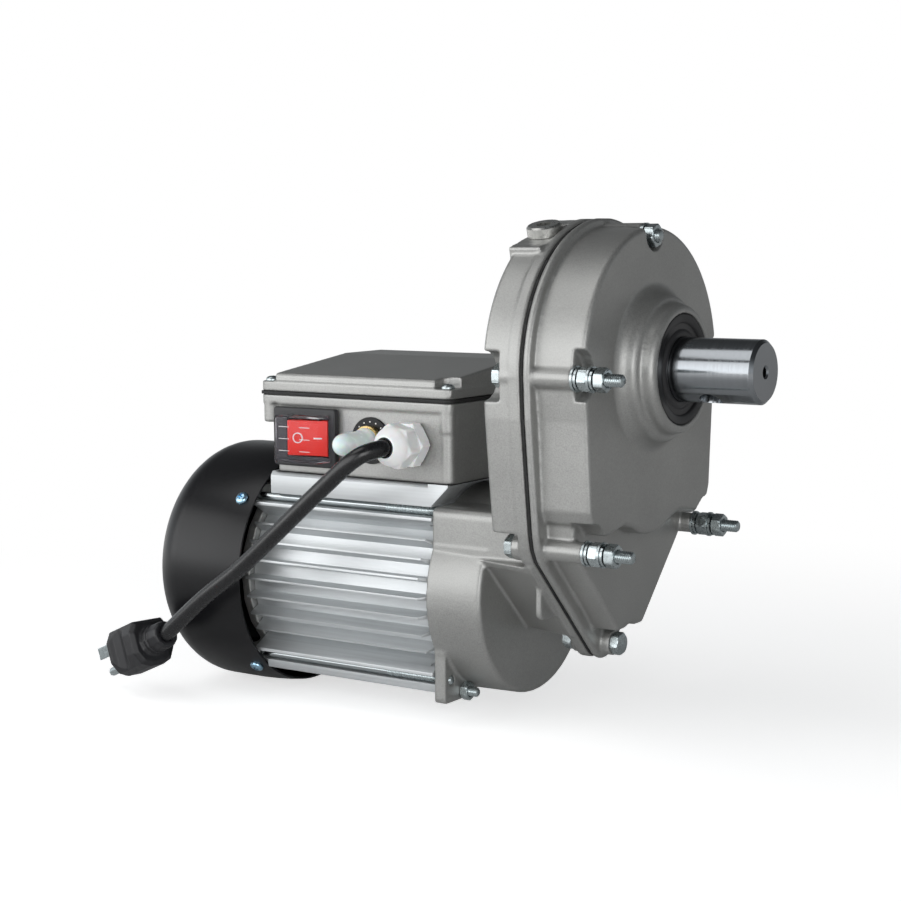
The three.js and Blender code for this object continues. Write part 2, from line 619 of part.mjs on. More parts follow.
// ---------------------------------------------------------------- motor shaft and rotor
const rotorFrontX = seamX - 88;
const rotorBackX = seamX - 152;
const motorShaftBody = turnedX([[seamX - 223, 0], [seamX - 223, 5.6], [seamX - 186, 5.6],
  [seamX - 186, 7.2], [seamX - 156, 7.2], [seamX - 156, 9], [seamX - 42, 9], [seamX - 42, 7.2],
  [seamX - 17, 7.2], [seamX - 17, 5], [seamX - 6.2, 5], [seamX - 6.2, 0]], 0, motorZ, 32);
const motorPinion = prismX(toothedOutline(stage1.module, stage1.pinion, 0, motorZ, phaseMotor),
  seamX - 16.4, seamX - 6.2);
piece('motor_shaft', motorShaftBody.intersect(rodX(30, seamX - 230, seamX - 16.4, 0, motorZ))
  .add(rodX(4.1, seamX - 20, seamX - 6.2, 0, motorZ, 20)).add(motorPinion), steel);
piece('rotor_core', turnedX([[rotorBackX, 9 + gap], [rotorBackX - 5, 14], [rotorBackX - 5, 22],
  [rotorBackX, 24.6], [rotorFrontX, 24.6], [rotorFrontX + 5, 22], [rotorFrontX + 5, 14],
  [rotorFrontX, 9 + gap], [rotorBackX, 9 + gap]], 0, motorZ, 36), laminated);
piece('motor_bearing_front', ballBearing(seamX - 38.4, seamX - 27.7, 7.5, 17.4, motorAxis, 36), steel);
piece('motor_bearing_rear', ballBearing(seamX - 185.6, seamX - 177.6, 7.5, 15.9, motorAxis, 36), steel);

// ---------------------------------------------------------------- stator
function statorOutline(slots) {
  const points = [];
  for (let i = 0; i < slots; i++) {
    const angle = 2 * Math.PI * i / slots;
    const half = Math.PI / slots;
    for (const [r, f] of [[25.2, -0.6], [25.2, 0.6], [34, 0.5], [34, 1.5]]) {
      points.push([r * Math.cos(angle + half * f), motorZ + r * Math.sin(angle + half * f)]);
    }
  }
  return points;
}
piece('stator_core', prismX(ring(41.6, 28, 0, motorZ), rotorBackX, rotorFrontX, 0,
  [statorOutline(18)]), laminated);

function windingRing(x0, x1) {
  const soft = 3;
  return turnedX([[x0, 30], [x0, 36], [x0 + soft, 38.6], [x1 - soft, 38.6], [x1, 36], [x1, 30],
    [x1 - soft, 28], [x0 + soft, 28], [x0, 30]], 0, motorZ, 32);
}
piece('stator_winding_front', windingRing(rotorFrontX + 0.4, rotorFrontX + 20), copperWire);
piece('stator_winding_rear', windingRing(rotorBackX - 20, rotorBackX - 0.4), copperWire);

// ---------------------------------------------------------------- finned frame
const frameBore = 41.9;
const finBase = 46.6;
const finTip = 53.6;
const finPitch = 10.45;
const seatHalf = 46.4;
const seatTop = motorZ + 55.5;

function finProfile(angleDeg, tip) {
  const angle = THREE.MathUtils.degToRad(angleDeg);
  const root = finBase - 1.2;
  const side = [-Math.sin(angle), Math.cos(angle)];
  const out = [Math.cos(angle), Math.sin(angle)];
  const at = (r, s) => [out[0] * r + side[0] * s, motorZ + out[1] * r + side[1] * s];
  return [at(root, -1.5), at(tip, -0.55), at(tip, 0.55), at(root, 1.5)];
}

const fins = [];
for (let i = -3; i <= 3; i++) {
  fins.push(finProfile(i * finPitch, finTip));
  fins.push(finProfile(180 - i * finPitch, finTip));
}
for (let i = -2; i <= 2; i++) {
  fins.push(finProfile(-90 + i * finPitch, finTip - 1.2));
}
const tube = prismX(ring(finBase, 48, 0, motorZ), frameBackX, frameFrontX);
const seat = prismX([[-seatHalf + 1.5, seatTop], [-seatHalf, seatTop - 2], [-seatHalf, motorZ + 44.2],
  [-30, motorZ + 32], [30, motorZ + 32], [seatHalf, motorZ + 44.2], [seatHalf, seatTop - 2],
  [seatHalf - 1.5, seatTop]], frameBackX + 12, frameFrontX);
// Slanted ends of the seat that reach past the drum on both sides.
const seatNoseSide = [[frameFrontX - 2, neckTop + 0.6], [frameFrontX, neckTop + 0.6],
  [frameFrontX + 9.6, seatTop - 1.2], [frameFrontX + 9.6, seatTop], [frameFrontX - 2, seatTop]];
const seatNoses = [prismY(seatNoseSide, seatHalf, 30), prismY(seatNoseSide, -30, -seatHalf)];
const lips = [];
for (const side of [-1, 1]) {
  lips.push(prismX([[side * 34, motorZ + 30], [side * 46.6, motorZ + 37.4],
    [side * 46.6, motorZ + 39], [side * 34, motorZ + 39]], frameBackX, frameFrontX));
  lips.push(prismX([[side * 34, motorZ - 30], [side * 46.6, motorZ - 37.4],
    [side * 46.6, motorZ - 39], [side * 37, motorZ - 39], [side * 37, motorZ - 44.3],
    [side * 41.4, motorZ - 44.3], [side * 40.4, motorZ - 48.6], [side * 27, motorZ - 48.6],
    [side * 27, motorZ - 36]], frameBackX, frameFrontX));
}
let frame = union([tube, seat, ...seatNoses, ...lips, ...fins.map((fin) => prismX(fin, frameBackX, frameFrontX))]);
const finChamfer = turnedX([[frameFrontX - 4, finTip + 3], [frameFrontX - 4, finTip],
  [frameFrontX + 1, finBase + 0.5], [frameFrontX + 1, finTip + 3], [frameFrontX - 4, finTip + 3]],
0, motorZ, 64).intersect(box(-300, 0, -90, 90, motorZ - 35, motorZ + 35));
frame = frame.subtract(finChamfer);
frame = frame.subtract(rodX(frameBore, frameBackX - 1, frameFrontX + 1, 0, motorZ, 64));
for (const side of [-1, 1]) {
  const reach = side * 50;
  const upperGroove = box(frameBackX - 1, frameFrontX + 1, Math.min(side * 36.4, reach),
    Math.max(side * 36.4, reach), motorZ + 39, motorZ + 44.3);
  const lowerGroove = box(frameBackX - 1, frameFrontX + 1, Math.min(side * 36.4, reach),
    Math.max(side * 36.4, reach), motorZ - 44.3, motorZ - 39);
  frame = cut(frame, [upperGroove, lowerGroove]);
}
// Behind the rim of the fan cover everything stays inside this radius.
const insideCover = coverRimRadius - 1.7;
const coverClearance = turnedX([[seamX - 200, 0], [seamX - 200, insideCover],
  [coverRimX + 1, insideCover], [coverRimX + 1, 90], [0, 90], [0, 0]], 0, motorZ, 96);
piece('motor_frame', frame.intersect(coverClearance), brightAlloy);

// ---------------------------------------------------------------- rear end shield
const rearShieldX = frameBackX - gap;
const rearShieldDisc = turnedX([[rearShieldX - 8, 0], [rearShieldX - 8, 46], [rearShieldX - 5, 50.6],
  [rearShieldX, 50.6], [rearShieldX, 0]], 0, motorZ, 48);
const rearHub = rodX(20, rearShieldX - 12, rearShieldX, 0, motorZ, 32);
const rearLugs = [];
for (const tie of [tieUpper, tieLower]) {
  for (const side of [-1, 1]) {
      rearLugs.push(prismX(rectangle(Math.min(side * 24, side * (tie.y + 5)),
      Math.max(side * 24, side * (tie.y + 5)), tie.z - 5, tie.z + 5, 2, 2),
    rearShieldX - 6, rearShieldX));
  }
}
let rearShield = union([rearShieldDisc, rearHub, ...rearLugs]);
rearShield = cut(rearShield, [
  turnedX([[rearShieldX - 9.2, 0], [rearShieldX - 9.2, 16.2], [rearShieldX + 1, 16.2],
    [rearShieldX + 1, 0]], 0, motorZ, 40),
  rodX(7.6, rearShieldX - 14, rearShieldX, 0, motorZ, 28)]);
for (const tie of [tieUpper, tieLower]) {
  for (const side of [-1, 1]) {
    rearShield = rearShield.subtract(rodX(tieRadius + gap, rearShieldX - 8, rearShieldX + 1,
      side * tie.y, tie.z, 16));
  }
}
piece('rear_end_shield', rearShield.intersect(coverClearance), castGrey);

// ---------------------------------------------------------------- cooling fan and fan cover
const fanX = seamX - 221;
const fanHub = turnedX([[fanX, 5.9], [fanX, 12], [fanX + 12, 14], [fanX + 13, 44],
  [fanX + 15, 44], [fanX + 15, 5.9], [fanX, 5.9]], 0, motorZ, 36);
const blades = [];
for (let i = 0; i < 9; i++) {
  const blade = new THREE.BoxGeometry(22, 35, 2);
  blade.translate(fanX + 3, 30.5, 0);
  blade.rotateX(2 * Math.PI * i / 9);
  blade.translate(0, 0, motorZ);
  blades.push(toManifold(blade));
}
piece('cooling_fan', union([fanHub, ...blades]), blackPlastic);

const skin = 1;
const cupOuter = [[coverRimX, coverRimRadius], [coverRimX - 12, coverRadius - 0.4], [coverRimX - 20, coverRadius],
  [coverBackX + 19, coverRadius - 0.6], [coverBackX + 13, coverRadius - 2.2],
  [coverBackX + 8, coverRadius - 5.2], [coverBackX + 4, coverRadius - 9.6],
  [coverBackX + 1.4, coverRadius - 15], [coverBackX, coverRadius - 22]];
const cupInner = cupOuter.map(([x, r]) => [x + (r < coverRadius - 4 ? skin : 0), r - skin]).reverse();
cupInner[0][0] = coverBackX + skin;
let fanCover = turnedX([...cupOuter, [coverBackX, 0], [coverBackX + skin, 0], ...cupInner,
  [coverRimX, coverRimRadius]], 0, motorZ, 64);
const airSlots = 14;
for (let i = 0; i < airSlots; i++) {
  const slot = new THREE.BoxGeometry(6, 15, 3.4);
  slot.translate(coverBackX + 1, 34, 0);
  slot.rotateX(2 * Math.PI * i / airSlots);
  slot.translate(0, 0, motorZ);
  fanCover = fanCover.subtract(toManifold(slot));
}
piece('fan_cover', fanCover, blackPaint);

// ---------------------------------------------------------------- tie rods
for (const [label, tie] of [['upper', tieUpper], ['lower', tieLower]]) {
  for (const [hand, side] of [['left', -1], ['right', 1]]) {
    const end = label === 'upper' ? shieldBackX + 15 : shieldBackX + 6.8;
    const turn = Math.atan2(tie.z - motorZ, side * tie.y) + Math.PI / 6;
    const head = hexX(6.4, rearShieldX - 9.4, rearShieldX - 6.2, side * tie.y, tie.z, turn);
    const rod = rodX(tieRadius, rearShieldX - 6.4, end, side * tie.y, tie.z, 16);
    piece(`tie_rod_${label}_${hand}`, rod.add(head), zinc);
  }
}

// ---------------------------------------------------------------- gearbox fasteners
const nutFlats = 10;
for (const stud of studs) {
  const head = hexX(nutFlats, rearHeadX - 4.4, rearHeadX - 0.1, stud.y, stud.z, Math.PI / 6);
  const shank = turnedX([[rearHeadX - 1, 0], [rearHeadX - 1, studRadius], [studEndX - 0.8, studRadius],
    [studEndX, studRadius - 0.8], [studEndX, 0]], stud.y, stud.z, 16);
  piece(`stud_${stud.name}`, head.add(shank), zinc);
  const clamp = hexX(nutFlats, 3, 8, stud.y, stud.z, 0.2);
  const lock = hexX(nutFlats, 11.4, 16.4, stud.y, stud.z, 0.5);
  const bore = rodX(studRadius + 0.12, 2, 18, stud.y, stud.z, 16);
  piece(`clamp_nut_${stud.name}`, clamp.subtract(bore), zinc);
  piece(`lock_nut_${stud.name}`, lock.subtract(bore), zinc);
}

const topShank = turnedX([[seamX - 15, 0], [seamX - 15, studRadius], [topSeatX + 8.6, studRadius],
  [topSeatX + 9.2, studRadius - 0.6], [topSeatX + 9.2, 0]], topBolt.y, topBolt.z, 18);
piece('top_bolt', topShank.add(hexX(nutFlats, seamX - 18.4, seamX - 14.2, topBolt.y, topBolt.z)), zinc);
const topBore = rodX(studRadius + 0.12, seamX + 20, seamX + 50, topBolt.y, topBolt.z, 18);
piece('top_nut', hexX(nutFlats, topSeatX + 2, topSeatX + 7.2, topBolt.y, topBolt.z, 0.3)
  .subtract(topBore), zinc);
const bottomShank = turnedX([[seamX - 17.6, 0], [seamX - 17.6, studRadius],
  [seamX + 11, studRadius], [seamX + 11, 0]], bottomBolt.y, bottomBolt.z, 18);
piece('bottom_bolt', bottomShank.add(hexX(nutFlats, seamX + 9.8, seamX + 14.2, bottomBolt.y,
  bottomBolt.z, 0.2)), zinc);
const bottomBore = rodX(studRadius + 0.12, seamX - 20, seamX, bottomBolt.y, bottomBolt.z, 18);
piece('bottom_nut', hexX(nutFlats, seamX - 16.8, seamX - 11.7, bottomBolt.y, bottomBolt.z, 0.4)
  .subtract(bottomBore), zinc);

// ---------------------------------------------------------------- oil filler plug
const plugHead = tiltedPiece(new THREE.CylinderGeometry(8.3, 8.3, 5.4, 32).rotateX(Math.PI / 2),
  padDistance + 3, plugShift);
const plugThread = tiltedPiece(new THREE.CylinderGeometry(4.9, 4.9, 12, 24).rotateX(Math.PI / 2),
  padDistance - 4, plugShift);
const plugSocket = tiltedPiece(new THREE.CylinderGeometry(3.4, 3.4, 8, 6).rotateX(Math.PI / 2),
  padDistance + 6, plugShift);
piece('oil_plug', plugHead.add(plugThread).subtract(plugSocket), zinc);

// ---------------------------------------------------------------- terminal box
const boxBackY = -boxFrontY;
const flangeLeftX = seamX - 171.6;
const flangeBottomZ = motorZ + 90.4;
const screwInset = 4.6;
const lidScrews = [
  [seamX - 166.4, boxFrontY + screwInset], [seamX - 58.4, boxFrontY + screwInset],
  [seamX - 166.4, boxBackY - screwInset], [seamX - 58.4, boxBackY - screwInset]];
const boxShell = prismZ(rectangle(boxLeftX, boxRightX, boxFrontY + 0.6, boxBackY - 0.6, 4),
  boxBottomZ, boxTopZ);
const boxFlange = prismZ(rectangle(flangeLeftX, boxRightX + 0.4, boxFrontY, boxBackY, 4.4),
  flangeBottomZ, boxTopZ);
const posts = lidScrews.map(([x, y]) => rodZ(4.7, motorZ + 80.6, boxTopZ, x, y, 24));
const columns = lidScrews.filter(([x]) => x > seamX - 100).map(([x, y]) => rodZ(4.3, boxBottomZ,
  boxTopZ, x, y, 24));
let boxBody = union([boxShell, boxFlange, ...posts, ...columns]);
const boxHollow = prismZ(rectangle(boxLeftX + wall, boxRightX - 10, boxFrontY + wall + 0.6,
  boxBackY - wall - 0.6, 4), boxBottomZ + wall, boxTopZ + 1);
boxBody = boxBody.subtract(boxHollow);
const switchX = seamX - 140.5;
const switchZ = motorZ + 74.4;
const resetX = seamX - 101.2;
const resetZ = motorZ + 74.7;
const glandX = seamX - 77.2;
const glandZ = motorZ + 74.6;
boxBody = cut(boxBody, [
  box(switchX - 15, switchX + 15, boxFrontY - 1, boxFrontY + 5, switchZ - 11.5, switchZ + 11.5),
  rodY(6.3, boxFrontY - 1, boxFrontY + 6, resetX, resetZ),
  rodY(8.3, boxFrontY - 1, boxFrontY + 6, glandX, glandZ),
  rodZ(9, boxBottomZ - 1, boxBottomZ + 6, seamX - 100, 10, 28)]);
for (const [x, y] of lidScrews) {
  boxBody = boxBody.subtract(rodZ(1.8, motorZ + 84, boxTopZ + 1, x, y, 12));
}
piece('terminal_box_body', boxBody, castGrey);

const gasketTopZ = motorZ + 96.6;
const lidGasketOuter = prismZ(rectangle(flangeLeftX - 0.7, boxRightX + 0.9, boxFrontY - 0.5,
  boxBackY + 0.5, 4.8), boxTopZ + 0.1, gasketTopZ - 0.1);
const lidGasketInner = prismZ(rectangle(boxLeftX + 5, boxRightX - 11, boxFrontY + 6, boxBackY - 6, 4),
  boxTopZ - 1, gasketTopZ + 1);
let lidGasket = lidGasketOuter.subtract(lidGasketInner);
for (const [x, y] of lidScrews) {
  lidGasket = lidGasket.subtract(rodZ(2, boxTopZ - 1, gasketTopZ + 1, x, y, 12));
}
piece('lid_gasket', lidGasket, blackRubber);

const lidEdgeZ = motorZ + 101.6;
const lidFrontZ = motorZ + 105.6;
const lidHighZ = motorZ + 112.8;
const lidPlate = prismZ(rectangle(flangeLeftX, boxRightX + 0.4, boxFrontY, boxBackY, 4.4),
  gasketTopZ, lidEdgeZ);
const lidProfile = [[boxFrontY + 0.6, gasketTopZ + 1], [boxBackY - 0.6, gasketTopZ + 1],
  [boxBackY - 0.6, lidHighZ - 1], [boxBackY - 1.6, lidHighZ], [13, lidHighZ],
  [boxFrontY + 2, lidFrontZ + 0.3], [boxFrontY + 0.9, lidFrontZ - 1]];
let lidTop = prismX(lidProfile, seamX - 162, boxRightX, 1, [], 2);
for (const [x, y] of lidScrews) {
  lidTop = lidTop.subtract(rodZ(5.2, lidEdgeZ, lidHighZ + 2, x, y, 24));
  if (x > seamX - 100) {
    const outward = Math.sign(y);
    const toEdge = box(x, boxRightX + 2, Math.min(y - 5.2 * outward, y + 12 * outward),
      Math.max(y - 5.2 * outward, y + 12 * outward), lidEdgeZ, lidHighZ + 2);
    const toFront = box(x - 5.2, boxRightX + 2, Math.min(y, y + 12 * outward),
      Math.max(y, y + 12 * outward), lidEdgeZ, lidHighZ + 2);
    lidTop = lidTop.subtract(toEdge).subtract(toFront);
  }
}
let lid = lidPlate.add(lidTop);
for (const [x, y] of lidScrews) {
  lid = lid.subtract(rodZ(2, gasketTopZ - 1, lidEdgeZ + 4, x, y, 12));
}
const lidHollow = prismZ(rectangle(boxLeftX + wall, boxRightX - 10, boxFrontY + 5, boxBackY - 5, 3),
  gasketTopZ - 1, lidEdgeZ + 0.6);
piece('terminal_box_lid', lid.subtract(lidHollow), castGrey);

piece('start_capacitor', rodX(17, seamX - 128, seamX - 76, 24, boxBottomZ + wall + 17.4, 32),
  blackPlastic);

// ---------------------------------------------------------------- rocker switch
const bezelFrontY = boxFrontY - 3.2;
const bezel = prismY(rectangle(seamX - 160, seamX - 121, motorZ + 59.6, motorZ + 89.2, 1.2, 2),
  boxFrontY + 0.3, bezelFrontY, 0.5);
const switchBack = box(switchX - 14.6, switchX + 14.6, boxFrontY, boxFrontY + 26,
  switchZ - 11.2, switchZ + 11.2);
const rockerX = seamX - 138;
const rockerHalf = 12;
const rockerTall = 8.9;
const rockerWell = box(rockerX - rockerHalf - 0.5, rockerX + rockerHalf + 0.5, bezelFrontY - 1,
  boxFrontY + 7, switchZ - rockerTall - 0.5, switchZ + rockerTall + 0.5);
piece('switch_body', bezel.add(switchBack).subtract(rockerWell), blackPlastic);

// The rocker is drawn switched on: right half pressed in, left half standing out.
const rockerPivotY = boxFrontY + 0.6;
const rockerTilt = THREE.MathUtils.degToRad(12.4);
const rockerLevel = [[-11, -6.3], [0, -5], [11, -6.3], [10.2, 0], [6, 4.2], [-6, 4.2], [-10.2, 0]];
const rockerOutline = rockerLevel.map(([x, y]) => [
  rockerX + x * Math.cos(rockerTilt) - y * Math.sin(rockerTilt),
  rockerPivotY + x * Math.sin(rockerTilt) + y * Math.cos(rockerTilt)]);
piece('switch_rocker', prismZ(rockerOutline, switchZ - rockerTall, switchZ + rockerTall), redPlastic);

const hoodX0 = seamX - 152.6;
const hoodX1 = seamX - 123.6;
const hoodFrontY = bezelFrontY - 9.6;
const hoodOuter = prismY(rectangle(hoodX0, hoodX1, switchZ - 12, switchZ + 11.6, 1.6, 2),
  bezelFrontY - 0.2, hoodFrontY, 0.8);
const hoodInner = prismY(rectangle(hoodX0 + 1, hoodX1 - 1, switchZ - 11, switchZ + 10.6, 1, 2),
  bezelFrontY + 1, hoodFrontY + 1);
piece('switch_hood', hoodOuter.subtract(hoodInner), clearPlastic);

// ---------------------------------------------------------------- thermal reset button
const breakerCase = box(resetX - 8.5, resetX + 8.5, boxFrontY + wall + 1.2, boxFrontY + 30,
  resetZ - 14, resetZ + 14);
const breakerNeck = turnedY([[boxFrontY - 3.8, 3.4], [boxFrontY - 3.8, 7.6], [boxFrontY - 0.9, 7.6],
  [boxFrontY - 0.9, 6], [boxFrontY + 5, 6], [boxFrontY + 5, 3.4], [boxFrontY - 3.8, 3.4]],
resetX, resetZ);
const breakerBore = rodY(3.3, boxFrontY - 8, boxFrontY + 12, resetX, resetZ, 20);
piece('thermal_breaker', breakerCase.add(breakerNeck).subtract(breakerBore), brassLook);
piece('reset_button', turnedY([[boxFrontY - 26, 0], [boxFrontY - 26, 2.4], [boxFrontY - 25.6, 2.9],
  [boxFrontY + 8, 2.9], [boxFrontY + 8, 0]], resetX, resetZ, 20), whiteNylon);
piece('reset_label_plate', turnedY([[boxFrontY + 0.5, 6.4], [boxFrontY + 0.5, 11.6],
  [boxFrontY - 0.6, 11.6], [boxFrontY - 0.6, 6.4], [boxFrontY + 0.5, 6.4]], resetX, resetZ, 36),
blackPaint);
const bootBackY = boxFrontY - 4.1;
piece('reset_boot', turnedY([[bootBackY, 3.6], [bootBackY, 6.6], [bootBackY - 3, 6.4],
  [bootBackY - 4, 5.8], [bootBackY - 21, 5.6], [bootBackY - 24.4, 4.4], [bootBackY - 26.4, 2.2],
  [bootBackY - 27, 0], [bootBackY - 25.6, 0], [bootBackY - 24.8, 2], [bootBackY - 23, 3.6],
  [bootBackY, 3.6]], resetX, resetZ, 28), milkySilicone);

// ---------------------------------------------------------------- cable gland, cord and plug
const hexGland = prismY(ring(12, 6, glandX, glandZ, Math.PI / 6), boxFrontY - 0.2, boxFrontY - 7.4, 0.6);
const glandThread = rodY(7.9, boxFrontY - 1, boxFrontY + 9, glandX, glandZ, 28);
const glandBore = rodY(5.1, boxFrontY - 40, boxFrontY + 12, glandX, glandZ, 24);
piece('gland_body', hexGland.add(glandThread).subtract(glandBore), whiteNylon);
const domeBackY = boxFrontY - 7.7;
const glandExitY = boxFrontY - 22;
const dome = turnedY([[domeBackY, 0], [domeBackY, 10.9], [domeBackY - 3.4, 10.9],
  [domeBackY - 6.4, 10.4], [domeBackY - 10, 9.2], [domeBackY - 12.8, 7.2], [glandExitY, 6],
  [glandExitY, 0]], glandX, glandZ, 32);
piece('gland_nut', dome.subtract(glandBore), whiteNylon);

const cordRadius = 4.2;
const plugAxis = new THREE.Vector3(-0.9, 0.2, -0.385).normalize();
const plugNeck = new THREE.Vector3(seamX - 206.5, -80.4, motorZ - 27.4);
const cordPath = new THREE.CatmullRomCurve3([
  new THREE.Vector3(glandX, boxFrontY - 12, glandZ),
  new THREE.Vector3(glandX - 0.6, boxFrontY - 24, glandZ - 0.2),
  new THREE.Vector3(glandX - 7, boxFrontY - 33, glandZ - 3.4),
  new THREE.Vector3(seamX - 104, -82, motorZ + 55),
  new THREE.Vector3(seamX - 132, -83, motorZ + 31),
  new THREE.Vector3(seamX - 158, -82, motorZ + 10),
  new THREE.Vector3(seamX - 180, -81.5, motorZ - 5.4),
  plugNeck.clone().addScaledVector(plugAxis, 0.3)], false, 'centripetal');
const cordShape = new THREE.Shape(ring(cordRadius, 10).map((p) => new THREE.Vector2(p[0], p[1])));
const cordGeometry = new THREE.ExtrudeGeometry(cordShape, {
  steps: 18, bevelEnabled: false, extrudePath: cordPath,
});
piece('power_cord', toManifold(cordGeometry), blackPlastic);

// Moulded three-pin plug, built along +X and turned to point along the end of the cord.
function placePlug(solid) {
  const up = new THREE.Vector3(0, 0, 1);
  const side = new THREE.Vector3().crossVectors(up, plugAxis).normalize();
  const top = new THREE.Vector3().crossVectors(plugAxis, side);
  const place = new THREE.Matrix4().makeBasis(plugAxis, side, top);
  place.setPosition(plugNeck);
  const geometry = toGeometry(solid);
  geometry.applyMatrix4(place);
  return toManifold(geometry);
}
const plugStart = 2;
const plugFront = plugStart + 40;
const relief = turnedX([[plugStart, 0], [plugStart, 6.4], [plugStart + 1, 7.2], [plugStart + 7.6, 7.6],
  [plugStart + 8, 6.8], [plugStart + 9, 6.8], [plugStart + 9.4, 7.9], [plugStart + 10.6, 7.9],
  [plugStart + 11, 7], [plugStart + 12, 7], [plugStart + 12.4, 8.4], [plugStart + 14, 8.4],
  [plugStart + 14, 0]], 0, 0, 24);
const plugSection = [[-9, -11], [-4, -13], [4, -13], [9, -11], [12.5, -5], [12.5, 6], [9, 11.5],
  [-9, 11.5], [-12.5, 6], [-12.5, -5]];
const plugBody = prismX(plugSection, plugStart + 13, plugFront, 2);
const grips = [-1, 1].map((side) => rodZ(10, -16, 16, plugStart + 29, side * 19, 24));
const pinBoss = rodX(6, plugStart + 36, plugFront + 3, 0, -6.6, 20);
const contacts = [box(plugFront - 1, plugFront + 16, -7.1, -5.6, 0.4, 6.8),
  box(plugFront - 1, plugFront + 16, 5.6, 7.1, 0.4, 6.8),
  rodX(2.4, plugFront, plugFront + 18, 0, -6.6, 16)];
const cordSocket = rodX(cordRadius + gap, plugStart - 6, plugStart + 0.4, 0, 0, 20);
const plugSolid = cut(union([relief, plugBody, pinBoss]), [...grips, cordSocket]);
piece('power_plug', placePlug(union([plugSolid, ...contacts])), blackPlastic);

export default group;
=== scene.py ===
"""Looks of the gearmotor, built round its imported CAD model. Metres, in the CAD row frame."""
import json
import math

import bmesh
import bpy
import numpy as np
from mathutils import Matrix, Vector


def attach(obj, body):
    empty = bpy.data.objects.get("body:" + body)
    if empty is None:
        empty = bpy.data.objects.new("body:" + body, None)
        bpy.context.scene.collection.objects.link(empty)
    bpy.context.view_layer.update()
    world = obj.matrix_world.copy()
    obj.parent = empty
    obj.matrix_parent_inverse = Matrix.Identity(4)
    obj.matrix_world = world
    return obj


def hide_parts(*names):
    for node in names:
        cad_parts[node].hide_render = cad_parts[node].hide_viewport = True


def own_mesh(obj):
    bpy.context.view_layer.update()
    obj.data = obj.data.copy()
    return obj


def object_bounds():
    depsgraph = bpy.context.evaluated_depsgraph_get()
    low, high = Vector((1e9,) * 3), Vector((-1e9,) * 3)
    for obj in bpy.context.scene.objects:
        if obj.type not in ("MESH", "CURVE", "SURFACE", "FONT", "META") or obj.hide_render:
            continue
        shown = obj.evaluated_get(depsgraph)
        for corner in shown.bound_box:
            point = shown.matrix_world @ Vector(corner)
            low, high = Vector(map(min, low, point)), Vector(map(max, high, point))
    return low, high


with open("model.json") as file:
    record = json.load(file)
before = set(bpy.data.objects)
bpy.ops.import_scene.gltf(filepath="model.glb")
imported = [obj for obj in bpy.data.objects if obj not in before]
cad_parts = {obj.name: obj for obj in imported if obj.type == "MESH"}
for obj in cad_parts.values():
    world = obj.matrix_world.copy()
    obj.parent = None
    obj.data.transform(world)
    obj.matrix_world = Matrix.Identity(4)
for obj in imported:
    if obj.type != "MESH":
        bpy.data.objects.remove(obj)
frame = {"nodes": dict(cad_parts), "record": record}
cad_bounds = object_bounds()
NODES = frame["nodes"]
MM = 0.001

# ---------------------------------------------------------------- driving places, in millimetres
MOTOR_Z = -112.0
SEAM_X = -25.0
BOX_FRONT_Y = -46.4
SWITCH_Z = MOTOR_Z + 74.4
RESET = (SEAM_X - 101.2, MOTOR_Z + 74.7)
GLAND = (SEAM_X - 77.2, MOTOR_Z + 74.6)
CORD_RADIUS = 4.2
STUDS = {
    "upper_left": (-64.0, -1.0),
    "upper_right": (64.0, -1.0),
    "lower_left": (-54.0, -81.0),
    "lower_right": (54.0, -81.0),
}


# ---------------------------------------------------------------- camera
def make_camera():
    """Camera at the viewing angle of the reference view, without depth of field."""
    yaw, pitch, roll = (math.radians(a) for a in (34.03, 6.58, -0.36))
    forward = Vector((-math.sin(yaw) * math.cos(pitch), math.cos(yaw) * math.cos(pitch), -math.sin(pitch)))
    level_right = Vector((math.cos(yaw), math.sin(yaw), 0))
    level_up = level_right.cross(forward)
    right = level_right * math.cos(roll) + level_up * math.sin(roll)
    up = level_up * math.cos(roll) - level_right * math.sin(roll)
    data = bpy.data.cameras.new("camera")
    data.sensor_width = 36
    data.lens = 74.96
    camera = bpy.data.objects.new("camera", data)
    bpy.context.scene.collection.objects.link(camera)
    basis = Matrix((right, up, -forward)).transposed().to_4x4()
    camera.matrix_world = Matrix.Translation((0.41881, -0.78369, 0.06322)) @ basis
    bpy.context.scene.camera = camera


make_camera()


